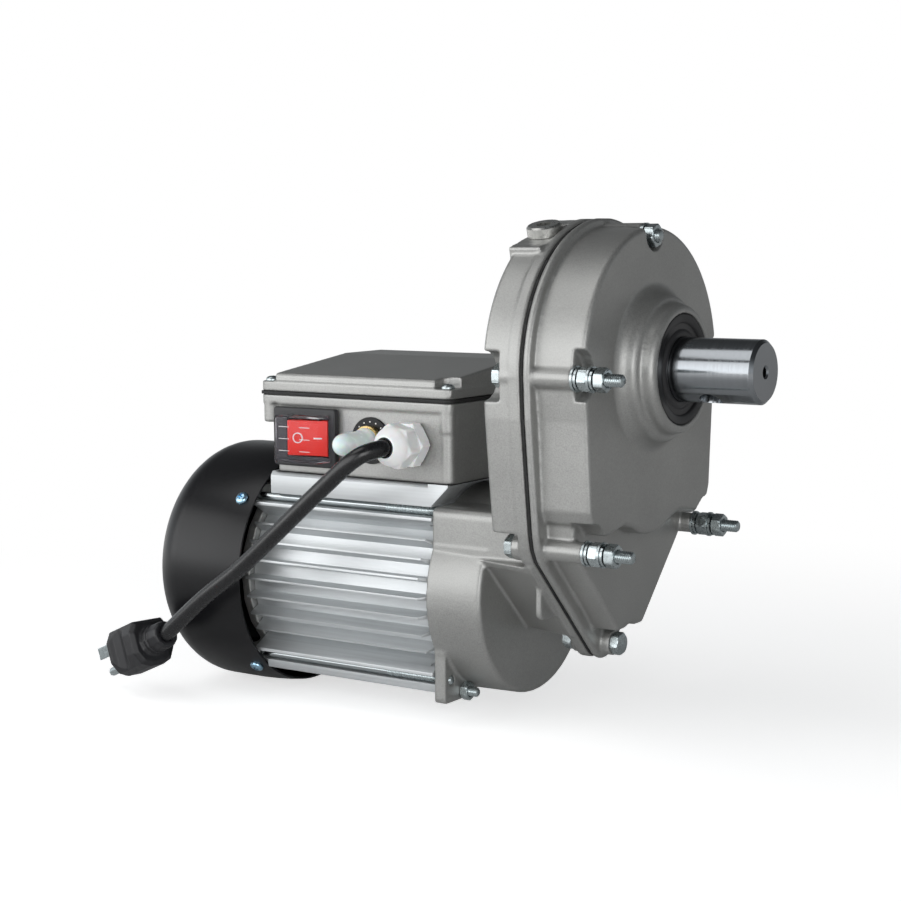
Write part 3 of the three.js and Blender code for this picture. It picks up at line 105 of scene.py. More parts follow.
# ---------------------------------------------------------------- materials
def surface(name, color, metallic, roughness, layers=(), **sockets):
    """Principled material. A layer is (scale per metre, stretch, tint, roughness change, bump in metres)."""
    made = bpy.data.materials.new(name)
    made.use_nodes = True
    tree = made.node_tree
    shader = tree.nodes["Principled BSDF"]
    shader.inputs["Base Color"].default_value = (*color, 1)
    shader.inputs["Metallic"].default_value = metallic
    shader.inputs["Roughness"].default_value = roughness
    for socket, value in sockets.items():
        shader.inputs[socket.replace("_", " ")].default_value = value
    place = tree.nodes.new("ShaderNodeTexCoord").outputs["Object"] if layers else None
    last_color = last_rough = last_normal = None
    for scale, stretch, tint, rough, bump in layers:
        mapping = tree.nodes.new("ShaderNodeMapping")
        mapping.inputs["Scale"].default_value = stretch
        tree.links.new(place, mapping.inputs["Vector"])
        noise = tree.nodes.new("ShaderNodeTexNoise")
        noise.inputs["Scale"].default_value = scale
        noise.inputs["Detail"].default_value = 3
        tree.links.new(mapping.outputs["Vector"], noise.inputs["Vector"])
        value = noise.outputs["Fac"]
        if tint:
            mix = tree.nodes.new("ShaderNodeMix")
            mix.data_type = "RGBA"
            mix.blend_type = "MULTIPLY"
            mix.inputs["Factor"].default_value = 1
            ramp = tree.nodes.new("ShaderNodeMapRange")
            ramp.inputs["From Min"].default_value = 0.3
            ramp.inputs["From Max"].default_value = 0.7
            ramp.inputs["To Min"].default_value = 1 - tint
            ramp.inputs["To Max"].default_value = 1 + tint
            tree.links.new(value, ramp.inputs["Value"])
            if last_color:
                tree.links.new(last_color, mix.inputs["A"])
            else:
                mix.inputs["A"].default_value = (*color, 1)
            tree.links.new(ramp.outputs["Result"], mix.inputs["B"])
            last_color = mix.outputs["Result"]
        if rough:
            ramp = tree.nodes.new("ShaderNodeMapRange")
            ramp.inputs["From Min"].default_value = 0.3
            ramp.inputs["From Max"].default_value = 0.7
            ramp.inputs["To Min"].default_value = max(0.02, roughness - rough)
            ramp.inputs["To Max"].default_value = roughness + rough
            tree.links.new(value, ramp.inputs["Value"])
            last_rough = ramp.outputs["Result"]
        if bump:
            node = tree.nodes.new("ShaderNodeBump")
            node.inputs["Strength"].default_value = 1
            node.inputs["Distance"].default_value = bump
            tree.links.new(value, node.inputs["Height"])
            if last_normal:
                tree.links.new(last_normal, node.inputs["Normal"])
            last_normal = node.outputs["Normal"]
    for output, socket in ((last_color, "Base Color"), (last_rough, "Roughness"), (last_normal, "Normal")):
        if output:
            tree.links.new(output, shader.inputs[socket])
    return made


EVEN = (1, 1, 1)
ALONG_X = (0.02, 1, 1)
AROUND_X = (1, 0.03, 0.03)
LOOKS = {
    "cast": surface("cast_aluminium", (0.35, 0.35, 0.34), 0.75, 0.44,
                    [(30, EVEN, 0.05, 0, 0), (1500, EVEN, 0.13, 0.09, 0.00006)]),
    "extrusion": surface("extruded_aluminium", (0.62, 0.64, 0.65), 0.8, 0.48,
                         [(25, EVEN, 0.03, 0, 0), (700, ALONG_X, 0.06, 0.06, 0.000006)]),
    "shaft_steel": surface("turned_steel", (0.28, 0.295, 0.31), 1.0, 0.17,
                           [(1300, AROUND_X, 0.06, 0.06, 0.000008)]),
    "gear_steel": surface("gear_steel", (0.42, 0.43, 0.44), 1.0, 0.34, [(500, EVEN, 0.06, 0.07, 0.00001)]),
    "bearing_steel": surface("bearing_steel", (0.56, 0.57, 0.58), 1.0, 0.2, [(800, AROUND_X, 0.04, 0.05, 0)]),
    "plug_steel": surface("plug_steel", (0.5, 0.5, 0.48), 1.0, 0.32, [(700, EVEN, 0.08, 0.08, 0.00001)]),
    "rod_steel": surface("rod_steel", (0.42, 0.45, 0.46), 1.0, 0.2),
    "zinc": surface("bright_zinc", (0.46, 0.51, 0.52), 1.0, 0.28, [(600, EVEN, 0.07, 0.09, 0.00001)]),
    "blue_zinc": surface("blue_zinc", (0.4, 0.62, 0.78), 1.0, 0.24, [(600, EVEN, 0.07, 0.09, 0.00001)]),
    "lamination": surface("sheet_stack", (0.3, 0.31, 0.33), 0.9, 0.45,
                          [(1600, (1, 0.01, 0.01), 0.3, 0, 0.00005)]),
    "winding": surface("varnished_wire", (0.5, 0.23, 0.1), 0.7, 0.35, [(700, AROUND_X, 0.3, 0.1, 0.0002)]),
    "black_paint": surface("gloss_black_paint", (0.005, 0.005, 0.006), 0.0, 0.3,
                           [(400, EVEN, 0.1, 0.02, 0.000003)], Specular_IOR_Level=0.32),
    "gasket": surface("gasket_rubber", (0.012, 0.012, 0.012), 0.0, 0.7, [(900, EVEN, 0.2, 0.1, 0.00004)]),
    "seal_rubber": surface("seal_rubber", (0.012, 0.012, 0.013), 0.0, 0.42,
                           [(900, AROUND_X, 0.2, 0.1, 0.00002)]),
    "cord_jacket": surface("cord_jacket", (0.007, 0.007, 0.008), 0.0, 0.27,
                           [(400, EVEN, 0.15, 0.06, 0.00002)]),
    "black_plastic": surface("black_plastic", (0.012, 0.012, 0.014), 0.0, 0.45,
                             [(1400, EVEN, 0.15, 0.07, 0.00002)]),
    "white_nylon": surface("white_nylon", (0.93, 0.93, 0.93), 0.0, 0.42, [(500, EVEN, 0.02, 0.05, 0.00001)],
                           Subsurface_Weight=0.2, Subsurface_Scale=0.002),
    "red_plastic": surface("red_plastic", (0.85, 0.02, 0.008), 0.0, 0.35,
                           [(300, EVEN, 0.03, 0.03, 0.000006)]),
    "clear_plastic": surface("clear_plastic", (0.93, 0.92, 0.96), 0.0, 0.06, [(200, EVEN, 0, 0.02, 0.000006)],
                             Transmission_Weight=1.0, IOR=1.12, Specular_IOR_Level=0.35),
    "milky_silicone": surface("milky_silicone", (0.9, 0.89, 0.87), 0.0, 0.25,
                              [(300, EVEN, 0.03, 0.04, 0.00001)],
                              Transmission_Weight=0.0, Subsurface_Weight=0.6, Subsurface_Scale=0.004),
    "brass": surface("brass", (0.62, 0.46, 0.2), 1.0, 0.28, [(700, EVEN, 0.06, 0.07, 0.00001)]),
    # White for the printed marks on the rocker and the label, and also for painted highlights on the clear hood's
    # ribs.
    "marking_white": surface("marking_white", (0.86, 0.84, 0.82), 0.0, 0.45,
                             [(800, EVEN, 0.03, 0.05, 0.000004)]),
    "lamp_black": surface("seat_black", (0.01, 0.01, 0.01), 0.0, 0.6, [(800, EVEN, 0.1, 0.1, 0.00001)]),
}
SLOT_OF = {row["node"]: row["material_slot"] for row in frame["record"]["subparts"]}
for node_name, cad in NODES.items():
    cad.data.materials.clear()
    cad.data.materials.append(LOOKS[SLOT_OF[node_name]])


# ---------------------------------------------------------------- mesh helpers
def place(name, mesh, look, body="housing", stands_for=(), slot=None, smooth=35):
    """Links a mesh whose points are already in the row frame, and gives it a look and a body."""
    mesh.materials.clear()
    mesh.materials.append(LOOKS[look])
    mesh.shade_smooth()
    if smooth:
        mesh.set_sharp_from_angle(angle=math.radians(smooth))
    made = bpy.data.objects.new(name, mesh)
    bpy.context.scene.collection.objects.link(made)
    if stands_for:
        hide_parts(*stands_for)
    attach(made, body)
    return made


def mesh_from(vertices, faces):
    """Closed mesh from points in millimetres, with doubled points joined and faces turned out."""
    mesh = bpy.data.meshes.new("made")
    mesh.from_pydata([(x * MM, y * MM, z * MM) for x, y, z in vertices], [], faces)
    work = bmesh.new()
    work.from_mesh(mesh)
    bmesh.ops.remove_doubles(work, verts=work.verts, dist=1e-7)
    bmesh.ops.dissolve_degenerate(work, edges=work.edges, dist=1e-8)
    bmesh.ops.recalc_face_normals(work, faces=work.faces)
    work.to_mesh(mesh)
    work.free()
    return mesh


def axes_for(direction):
    """Two unit vectors that are square to a direction and to each other."""
    along = Vector(direction).normalized()
    helper = Vector((0, 0, 1)) if abs(along.z) < 0.9 else Vector((0, 1, 0))
    side = helper.cross(along).normalized()
    return along, side, along.cross(side)


def turned(profile, origin, direction=(1, 0, 0), steps=96, radius_at=None):
    """Closed body of revolution. The profile is [distance along the axis, radius] pairs.

    radius_at(distance, radius, angle) may change the radius, as for a hexagon or a thread."""
    along, side, over = axes_for(direction)
    origin = Vector(origin)
    vertices = []
    for distance, radius in profile:
        for i in range(steps):
            angle = 2 * math.pi * i / steps
            r = radius_at(distance, radius, angle) if radius_at else radius
            vertices.append(origin + along * distance + (side * math.cos(angle) + over * math.sin(angle)) * r)
    rows = len(profile)
    faces = []
    for row in range(rows - 1):
        for i in range(steps):
            j = (i + 1) % steps
            faces.append((row * steps + i, row * steps + j, (row + 1) * steps + j, (row + 1) * steps + i))
    closes = profile[0] == profile[-1]
    if not closes:
        for row in (0, rows - 1):
            if profile[row][1] > 0:
                faces.append(tuple(row * steps + i for i in range(steps)))
    return mesh_from(vertices, faces)


def hexagon(flats, turn):
    """Radius rule of a hexagon that never goes past the profile's own radius."""
    def rule(_, radius, angle):
        sector = (angle - turn) % (math.pi / 3) - math.pi / 6
        return min(radius, flats / 2 / math.cos(sector))
    return rule


def nut(x0, x1, at, flats=10.0, bore=3.0, turn=0.2, direction=(1, 0, 0)):
    """Hexagon nut with chamfered corners and a countersunk bore."""
    corner = flats / math.sqrt(3)
    face = flats / 2 - 0.15
    soft = (corner - face) * 0.5
    high = x1 - x0
    levels = [(0, bore), (0, face), (soft * 0.5, (face + corner) / 2), (soft, corner), (high - soft, corner),
              (high - soft * 0.5, (face + corner) / 2), (high, face), (high, bore + 0.5), (high - 0.5, bore),
              (0, bore)]
    origin = Vector((x0, at[0], at[1])) if direction == (1, 0, 0) else Vector(at)
    return turned(levels, origin, direction, 72, hexagon_outer(flats, turn, bore + 0.6))


def hexagon_outer(flats, turn, inner):
    """Hexagon rule that leaves the bore round."""
    rule = hexagon(flats, turn)
    return lambda distance, radius, angle: radius if radius <= inner else rule(distance, radius, angle)


def threaded(x0, x1, at, radius=3.0, pitch=1.0, direction=(1, 0, 0), steps=28):
    """Rod with a helical thread, chamfered at its far end."""
    per_turn = 6
    count = int((x1 - x0) / pitch * per_turn)
    depth = 0.55 * pitch

    def rule(distance, nominal, angle):
        if nominal == 0:
            return 0
        phase = (distance / pitch - angle / (2 * math.pi)) % 1
        return min(nominal, radius - depth * abs(2 * phase - 1))

    profile = [(0, 0)]
    for i in range(count + 1):
        distance = (x1 - x0) * i / count
        profile.append((distance, min(radius, radius - 0.8 + (x1 - x0 - distance))))
    profile.append((x1 - x0, 0))
    origin = Vector((x0, at[0], at[1])) if direction == (1, 0, 0) else Vector(at)
    return turned(profile, origin, direction, steps, rule)


def washer(x0, x1, at, outer=6.0, inner=3.2, direction=(1, 0, 0)):
    """Flat washer with broken edges."""
    soft = 0.15
    high = x1 - x0
    levels = [(0, inner), (0, outer - soft), (soft, outer), (high - soft, outer), (high, outer - soft),
              (high, inner), (0, inner)]
    origin = Vector((x0, at[0], at[1])) if direction == (1, 0, 0) else Vector(at)
    return turned(levels, origin, direction, 48)


def spring_washer(x0, x1, at, outer=5.4, inner=3.2, turn=1.0):
    """Split washer: one turn of square wire, with its ends offset by a third of its height."""
    steps = 44
    wire = (x1 - x0) * 0.72
    vertices = []
    for i in range(steps + 1):
        share = i / steps
        angle = turn + 0.16 + share * (2 * math.pi - 0.32)
        low = x0 + (x1 - x0 - wire) * share
        for x, r in ((low, inner), (low, outer), (low + wire, outer), (low + wire, inner)):
            vertices.append((x, at[0] + r * math.cos(angle), at[1] + r * math.sin(angle)))
    faces = [(3, 2, 1, 0), tuple(4 * steps + k for k in range(4))]
    for i in range(steps):
        for k in range(4):
            n = (k + 1) % 4
            faces.append((4 * i + k, 4 * i + n, 4 * i + 4 + n, 4 * i + 4 + k))
    return mesh_from(vertices, faces)


def plain_copy(node):
    """Copy of a CAD node's mesh with its split points joined."""
    mesh = NODES[node].data.copy()
    work = bmesh.new()
    work.from_mesh(mesh)
    bmesh.ops.remove_doubles(work, verts=work.verts, dist=1e-6)
    work.to_mesh(mesh)
    work.free()
    return mesh


def applied(mesh, *modifiers):
    """The mesh after modifiers, each given as (type, {setting: value})."""
    holder = bpy.data.objects.new("holder", mesh)
    bpy.context.scene.collection.objects.link(holder)
    for kind, settings in modifiers:
        modifier = holder.modifiers.new(kind.lower(), kind)
        for key, value in settings.items():
            setattr(modifier, key, value)
    graph = bpy.context.evaluated_depsgraph_get()
    graph.update()
    result = bpy.data.meshes.new_from_object(holder.evaluated_get(graph))
    bpy.data.objects.remove(holder)
    return result


def points_of(mesh):
    co = np.empty(len(mesh.vertices) * 3)
    mesh.vertices.foreach_get("co", co)
    return co.reshape(-1, 3)


def rounded(mesh, axis_z, step, low, high, from_angle=-181, to_angle=181, x_range=(-1e3, 1e3)):
    """Turns the flats of a faceted round form about an X axis into a true arc.

    step is the angle of one flat in degrees, and its corners are at whole steps from from_angle."""
    co = points_of(mesh)
    y = co[:, 1]
    z = co[:, 2] - axis_z * MM
    radius = np.hypot(y, z)
    angle = np.degrees(np.arctan2(z, y))
    start = 0 if from_angle <= -180 else from_angle
    inside = (radius > low * MM) & (radius < high * MM) & (angle >= from_angle) & (angle <= to_angle)
    inside &= (co[:, 0] > x_range[0] * MM) & (co[:, 0] < x_range[1] * MM)
    within = np.radians((angle - start) % step - step / 2)
    factor = np.where(inside, np.cos(within) / math.cos(math.radians(step / 2)), 1.0)
    co[:, 1] = y * factor
    co[:, 2] = z * factor + axis_z * MM
    mesh.vertices.foreach_set("co", co.ravel())
    mesh.update()


def combined(mesh, tool, operation):
    """The mesh after a boolean operation with a tool mesh."""
    other = bpy.data.objects.new("tool", tool)
    bpy.context.scene.collection.objects.link(other)
    result = applied(mesh, ("BOOLEAN", {"operation": operation, "object": other, "solver": "EXACT"}))
    bpy.data.objects.remove(other)
    return result


def cast_copy(node, voxel, smooth, corrections=(), shape=None):
    """Copy of a casting with its edges rounded: a fine remesh, true arcs, then smoothing."""
    mesh = applied(shape or plain_copy(node), ("REMESH", {"mode": "VOXEL", "voxel_size": voxel * MM}))
    for settings in corrections:
        rounded(mesh, **settings)
    return applied(mesh, ("SMOOTH", {"factor": 0.5, "iterations": smooth}))


def bevelled(node, width, segments=2, angle=30, join_flats=True):
    """Copy of a CAD node with its sharp edges broken. A ring-shaped flat must not be joined into one face."""
    mesh = plain_copy(node)
    if join_flats:
        work = bmesh.new()
        work.from_mesh(mesh)
        bmesh.ops.dissolve_limit(work, angle_limit=math.radians(0.8), verts=work.verts, edges=work.edges)
        work.to_mesh(mesh)
        work.free()
    return applied(mesh, ("BEVEL", {"width": width * MM, "segments": segments, "limit_method": "ANGLE",
                                    "angle_limit": math.radians(angle), "harden_normals": False}))


# ---------------------------------------------------------------- cord and plug
def centripetal(points, per_span):
    """Smooth route through the points, by the centripetal Catmull-Rom rule."""
    points = [Vector(p) for p in points]
    padded = [points[0] * 2 - points[1], *points, points[-1] * 2 - points[-2]]
    route = []
    for k in range(1, len(padded) - 2):
        p0, p1, p2, p3 = padded[k - 1:k + 3]
        d0, d1, d2 = ((b - a).length ** 0.5 for a, b in ((p0, p1), (p1, p2), (p2, p3)))
        m1 = ((p1 - p0) / d0 - (p2 - p0) / (d0 + d1) + (p2 - p1) / d1) * d1
        m2 = ((p2 - p1) / d1 - (p3 - p1) / (d1 + d2) + (p3 - p2) / d2) * d1
        for i in range(per_span):
            t = i / per_span
            route.append(p1 * (2 * t**3 - 3 * t**2 + 1) + m1 * (t**3 - 2 * t**2 + t)
                         + p2 * (3 * t**2 - 2 * t**3) + m2 * (t**3 - t**2))
    return [*route, points[-1]]


PLUG_AXIS = Vector((-0.9, 0.2, -0.385)).normalized()
PLUG_NECK = Vector((SEAM_X - 206.5, -80.4, MOTOR_Z - 27.4))
CORD_ROUTE = [
    (GLAND[0], BOX_FRONT_Y - 12, GLAND[1]),
    (GLAND[0] - 0.6, BOX_FRONT_Y - 24, GLAND[1] - 0.2),
    (GLAND[0] - 7, BOX_FRONT_Y - 33, GLAND[1] - 3.4),
    (SEAM_X - 104, -82, MOTOR_Z + 55),
    (SEAM_X - 132, -83, MOTOR_Z + 31),
    (SEAM_X - 158, -82, MOTOR_Z + 10),
    (SEAM_X - 180, -81.5, MOTOR_Z - 5.4),
    tuple(PLUG_NECK + PLUG_AXIS * 3),
]


def make_plug():
    """Moulded plug: the CAD form softened, with its contacts in bare metal."""
    mesh = applied(plain_copy("power_plug"), ("REMESH", {"mode": "VOXEL", "voxel_size": 0.4 * MM}),
                   ("SMOOTH", {"factor": 0.5, "iterations": 5}))
    side = Vector((0, 0, 1)).cross(PLUG_AXIS).normalized()
    top = PLUG_AXIS.cross(side)
    made = place("plug", mesh, "black_plastic", stands_for=["power_plug"], smooth=0)
    mesh.materials.append(LOOKS["zinc"])
    for polygon in mesh.polygons:
        spot = polygon.center / MM - PLUG_NECK
        bare_from = 42.5 if spot.dot(top) > -0.3 else 45.5
        polygon.material_index = 1 if spot.dot(PLUG_AXIS) > bare_from else 0
    return made


def make_cord(plug):
    """The cord as one curve from the gland's nose to the plug's neck."""
    route = centripetal(CORD_ROUTE, 5)
    curve = bpy.data.curves.new("cord", "CURVE")
    curve.dimensions = "3D"
    curve.bevel_depth = CORD_RADIUS * MM
    curve.bevel_resolution = 6
    curve.use_fill_caps = True
    spline = curve.splines.new("POLY")
    spline.points.add(len(route) - 1)
    for point, at in zip(spline.points, route):
        point.co = (*(at * MM), 1)
    spline.use_smooth = True
    curve.materials.append(LOOKS["cord_jacket"])
    made = bpy.data.objects.new("cord", curve)
    bpy.context.scene.collection.objects.link(made)
    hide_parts("power_cord")
    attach(made, "housing")


make_cord(make_plug())


# ---------------------------------------------------------------- gearbox castings
OUTLINE_STEP = 85 / 9
OUTLINE_ARCS = dict(axis_z=0, step=OUTLINE_STEP, low=55, high=72)
RIGHT_ARC = dict(OUTLINE_ARCS, from_angle=0, to_angle=85)
LEFT_ARC = dict(OUTLINE_ARCS, from_angle=95, to_angle=180)
BOSS_ARC = dict(axis_z=0, step=11.25, low=20, high=41, x_range=(0, 20))
DRUM_ARC = dict(axis_z=MOTOR_Z, step=11.25, low=46, high=53.5, x_range=(-91, -58))


def under_nose(side):
    """Space under the sloping side of the housing, between the motor drum and the flange."""
    back, front = SEAM_X - 34.55, SEAM_X - 7
    drum_end = [(44.6, -94.1), (8.5, -129.7), (60, -134), (60, -94.1)]
    flange_end = [(53.6, -93.4), (16.6, -129.7), (66, -134), (66, -93.4)]
    points = [(back, side * y, z) for y, z in drum_end] + [(front, side * y, z) for y, z in flange_end]
    faces = [(0, 1, 2, 3), (7, 6, 5, 4), (0, 4, 5, 1), (1, 5, 6, 2), (2, 6, 7, 3), (3, 7, 4, 0)]
    if side < 0:
        faces = [tuple(reversed(face)) for face in faces]
    return mesh_from(points, faces)


def make_gearbox():
    """Both castings.

    A sleeve thickens the bearing seat, whose wall is thinner than a remesh can hold. A filler closes the drum's
    front wall, where the recess for the bottom bolt's nut runs through it.
    """
    seat_inside, seat_outside, seat_length = 16.2, 18.5, 9
    filler_radius, filler_length = 8, 4.6
    shape = plain_copy("gearbox_rear_housing")
    for side in (-1, 1):
        shape = combined(shape, under_nose(side), "DIFFERENCE")
    sleeve = turned([(0, seat_inside), (0, seat_outside), (seat_length, seat_outside),
                     (seat_length, seat_inside), (0, seat_inside)], (SEAM_X - 36, 0, MOTOR_Z))
    shape = combined(shape, sleeve, "UNION")
    filler = turned([(0, 0), (0, filler_radius), (filler_length, filler_radius), (filler_length, 0)],
                    (SEAM_X - 39.3, 0, MOTOR_Z - 22))
    shape = combined(shape, filler, "UNION")
    rear = cast_copy("gearbox_rear_housing", 0.75, 4, [RIGHT_ARC, LEFT_ARC, DRUM_ARC], shape)
    place("rear_housing", rear, "cast", stands_for=["gearbox_rear_housing"], smooth=0)
    front = cast_copy("gearbox_front_cover", 0.7, 4, [RIGHT_ARC, LEFT_ARC, BOSS_ARC])
    place("front_cover", front, "cast", stands_for=["gearbox_front_cover"], smooth=0)
    place("housing_seam", plain_copy("housing_gasket"), "gasket", stands_for=["housing_gasket"])


def make_shaft():
    """Output shaft with its chamfers, end centre and cross hole."""
    profile = [(-14, 0), (-14, 9.2), (-13.4, 9.8), (-1.4, 9.8), (-1.4, 18), (6.2, 18), (6.2, 15), (85.7, 15),
               (87.3, 13.4), (87.3, 3.2), (86.5, 2.4), (75.3, 2.4), (73.9, 0)]
    body = turned([(SEAM_X + x, r) for x, r in profile], (0, 0, 0), (1, 0, 0), 128)
    lean = math.radians(26)
    hole = turned([(-22, 0), (-22, 5.5), (22, 5.5), (22, 0)], (SEAM_X + 63.4, 0, 0),
                  (0, math.sin(lean), math.cos(lean)), 64)
    mesh = applied(combined(body, hole, "DIFFERENCE"),
                   ("BEVEL", {"width": 0.3 * MM, "segments": 2, "limit_method": "ANGLE",
                              "angle_limit": math.radians(50)}))
    place("output_shaft_turned", mesh, "shaft_steel", "output", ["output_shaft"], smooth=30)


def make_seal():
    """Oil seal: outer case, a dished face and the lip on the shaft."""
    base = SEAM_X + 40.2
    profile = [(0, 17.4), (0, 25.9), (5.2, 25.9), (5.6, 25.5), (5.6, 22.4), (5.2, 21.8), (4.5, 21.4),
               (4.4, 18.8), (4.8, 18.2), (5.4, 17.4), (5.5, 16.4), (5.2, 15.3), (3.2, 15.3), (2, 17.4),
               (0, 17.4)]
    place("shaft_seal", turned([(base + x, r) for x, r in profile], (0, 0, 0)), "seal_rubber",
          stands_for=["oil_seal"])


def make_fasteners():
    """Studs with their nuts and washers, and the two bolts on the middle line."""
    for name, at in STUDS.items():
        head = nut(SEAM_X - 16.4, SEAM_X - 12.1, at, bore=0.0001, turn=math.pi / 6)
        place(f"stud_head_{name}", head, "zinc")
        place(f"stud_thread_{name}", threaded(SEAM_X - 12.1, 24.2, at), "zinc", stands_for=[f"stud_{name}"],
              smooth=50)
        place(f"clamp_nut_cut_{name}", nut(3.1, 8, at, turn=0.2), "zinc", stands_for=[f"clamp_nut_{name}"])
        place(f"lock_nut_cut_{name}", nut(11.4, 16.4, at, turn=0.5), "zinc", stands_for=[f"lock_nut_{name}"])
        place(f"seat_washer_{name}", washer(0, 1.3, at), "zinc")
        place(f"seat_spring_washer_{name}", spring_washer(1.35, 3.05, at), "zinc")
        place(f"mid_washer_{name}", washer(8.05, 9.4, at), "zinc")
        place(f"mid_spring_washer_{name}", spring_washer(9.45, 11.3, at, turn=2.2), "zinc")
    top = (0, 62)
    seat = SEAM_X + 24.8
    place("top_thread", threaded(SEAM_X - 14.2, seat + 9.2, top), "zinc", stands_for=["top_bolt"], smooth=50)
    place("top_head", nut(SEAM_X - 18.4, SEAM_X - 14.2, top, bore=0.0001), "zinc")
    place("top_washer", washer(seat + 0.05, seat + 1.9, top), "zinc")
    place("top_nut_cut", nut(seat + 2, seat + 7.2, top, turn=0.3), "zinc", stands_for=["top_nut"])
    bottom = (0, MOTOR_Z - 22)
    place("bottom_thread", threaded(SEAM_X - 17.6, SEAM_X + 9.8, bottom), "zinc", stands_for=["bottom_bolt"],
          smooth=50)
    place("bottom_head", nut(SEAM_X + 9.8, SEAM_X + 14.2, bottom, bore=0.0001), "zinc")
    place("bottom_nut_cut", nut(SEAM_X - 16.8, SEAM_X - 11.7, bottom, turn=0.4), "zinc",
          stands_for=["bottom_nut"])


def make_oil_plug():
    """Round plug with a hexagon socket, square to its sloping pad."""
    tilt = math.radians(16)
    out = Vector((0, -math.sin(tilt), math.cos(tilt)))
    across = Vector((0, math.cos(tilt), math.sin(tilt)))
    seat = Vector((SEAM_X - 13.4, 0, 0)) + out * 67.3 + across * -8
    profile = [(-6, 0), (-6, 4.9), (0, 4.9), (0, 7.9), (0.4, 8.3), (4.6, 8.3), (5.4, 7.5), (5.4, 3.9),
               (1.6, 3.8), (1.5, 0)]

    def socket(distance, radius, angle):
        sector = angle % (math.pi / 3) - math.pi / 6
        inner = distance > 1 and radius < 4.5
        return min(radius, 3.4 / math.cos(sector)) if inner else radius

    place("oil_plug_cut", turned(profile, seat, out, 96, socket), "plug_steel", stands_for=["oil_plug"])


make_gearbox()
make_shaft()
make_seal()
make_fasteners()
make_oil_plug()


# ---------------------------------------------------------------- motor
def make_fan_cover():
    """Spun cup with a round shoulder and a ring of air slots in its back."""
    rim, back, radius = SEAM_X - 174.5, SEAM_X - 237.5, 64.0
    shoulder = 22.0
    outer = [(rim, 62.4), (rim - 6, 63.2), (rim - 13, 63.7), (rim - 20, radius)]
    for i in range(13):
        angle = math.pi / 2 * i / 12
        outer.append((back + shoulder - shoulder * math.sin(angle),
                      radius - shoulder + shoulder * math.cos(angle)))
    inner = [(max(x, back) + (1 if r < 60 else 0), r - 1) for x, r in reversed(outer)]
    profile = [*outer, (back, 0.0), (back + 1, 0.0), (back + 1, inner[0][1]), *inner[1:], outer[0]]
    cup = turned(profile, (0, 0, MOTOR_Z), (1, 0, 0), 144)
    work = bmesh.new()
    for i in range(14):
        turn = Matrix.Rotation(2 * math.pi * i / 14, 4, "X")
        move = Matrix.Translation(Vector((back + 1, 0, MOTOR_Z)) * MM) @ turn
        shape = Matrix.Translation((0, 34 * MM, 0)) @ Matrix.Diagonal((8 * MM, 15 * MM, 3.4 * MM, 1))
        bmesh.ops.create_cube(work, size=1, matrix=move @ shape)
    slots = bpy.data.meshes.new("slots")
    work.to_mesh(slots)
    work.free()
    place("fan_cover_spun", combined(cup, slots, "DIFFERENCE"), "black_paint", stands_for=["fan_cover"], smooth=30)


def make_frame():
    place("frame_extrusion", bevelled("motor_frame", 0.22, 2, 25), "extrusion", stands_for=["motor_frame"],
          smooth=35)
    shield = cast_copy("rear_end_shield", 0.8, 3)
    place("rear_shield", shield, "cast", stands_for=["rear_end_shield"], smooth=0)


def screw_head(name, at, direction, radius=3.6, look="zinc", slot=None):
    """Pan head with a cross recess, seated at a point and facing a direction."""
    profile = [(0, 0), (0, radius - 0.1), (0.4, radius), (1.3, radius * 0.93), (2.0, radius * 0.72),
               (2.35, radius * 0.4), (2.45, 0)]
    head = turned(profile, at, direction, 40)
    along, side, over = axes_for(direction)
    work = bmesh.new()
    basis = Matrix((side, over, along)).transposed().to_4x4()
    for long, wide in ((radius * 0.95, 0.75), (0.75, radius * 0.95)):
        spot = Matrix.Translation((Vector(at) + along * 2.4) * MM) @ basis
        size = Matrix.Diagonal((long * MM, wide * MM, 2.2 * MM, 1))
        bmesh.ops.create_cube(work, size=1, matrix=spot @ size)
    cross = bpy.data.meshes.new("cross")
    work.to_mesh(cross)
    work.free()
    cutter = bpy.data.objects.new("cross_cutter", cross)
    bpy.context.scene.collection.objects.link(cutter)
    settings = {"operation": "DIFFERENCE", "object": cutter, "solver": "EXACT", "use_self": True}
    mesh = applied(head, ("BOOLEAN", settings))
    bpy.data.objects.remove(cutter)
    place(name, mesh, look, slot=slot, smooth=35)


def make_motor_fasteners():
    screw_x = SEAM_X - 182.3
    for k, angle in enumerate((140.5, 231.4, 39.5, -51.4)):
        out = Vector((0, math.cos(math.radians(angle)), math.sin(math.radians(angle))))
        screw_head(f"cover_screw_{k}", Vector((screw_x, 0, MOTOR_Z)) + out * 63.1, out, 3.7,
                   "blue_zinc", "zinc")
    thread_from = SEAM_X - 96
    for row, z, end in (("upper", MOTOR_Z + 41.4, SEAM_X - 50.1), ("lower", MOTOR_Z - 41.4, SEAM_X - 58.3)):
        for hand, y in (("left", -39.6), ("right", 39.6)):
            node = f"tie_rod_{row}_{hand}"
            plain = turned([(SEAM_X - 186.7, 0), (SEAM_X - 186.7, 3.3), (SEAM_X - 186.4, 3.6),
                            (SEAM_X - 183.5, 3.6), (SEAM_X - 183.5, 2.05), (thread_from, 2.05),
                            (thread_from, 0)], (0, y, z), steps=32)
            place(f"{node}_plain", plain, "rod_steel", "housing", [node], slot="zinc")
            place(f"{node}_thread", threaded(thread_from, end, (y, z), radius=2.3, pitch=0.8), "zinc",
                  smooth=50)
    for side, hand in ((-1, "left"), (1, "right")):
        at = (side * 29.0, MOTOR_Z - 48.6)
        lug_face = SEAM_X - 65.1 + 6.4
        place(f"lug_bolt_{hand}", threaded(lug_face - 8, lug_face + 8.5, at, radius=2.4, pitch=0.8), "zinc",
              smooth=50)
        place(f"lug_nut_{hand}", nut(lug_face + 0.1, lug_face + 4.2, at, flats=8, bore=2.4, turn=0.4), "zinc")


make_fan_cover()
make_frame()
make_motor_fasteners()


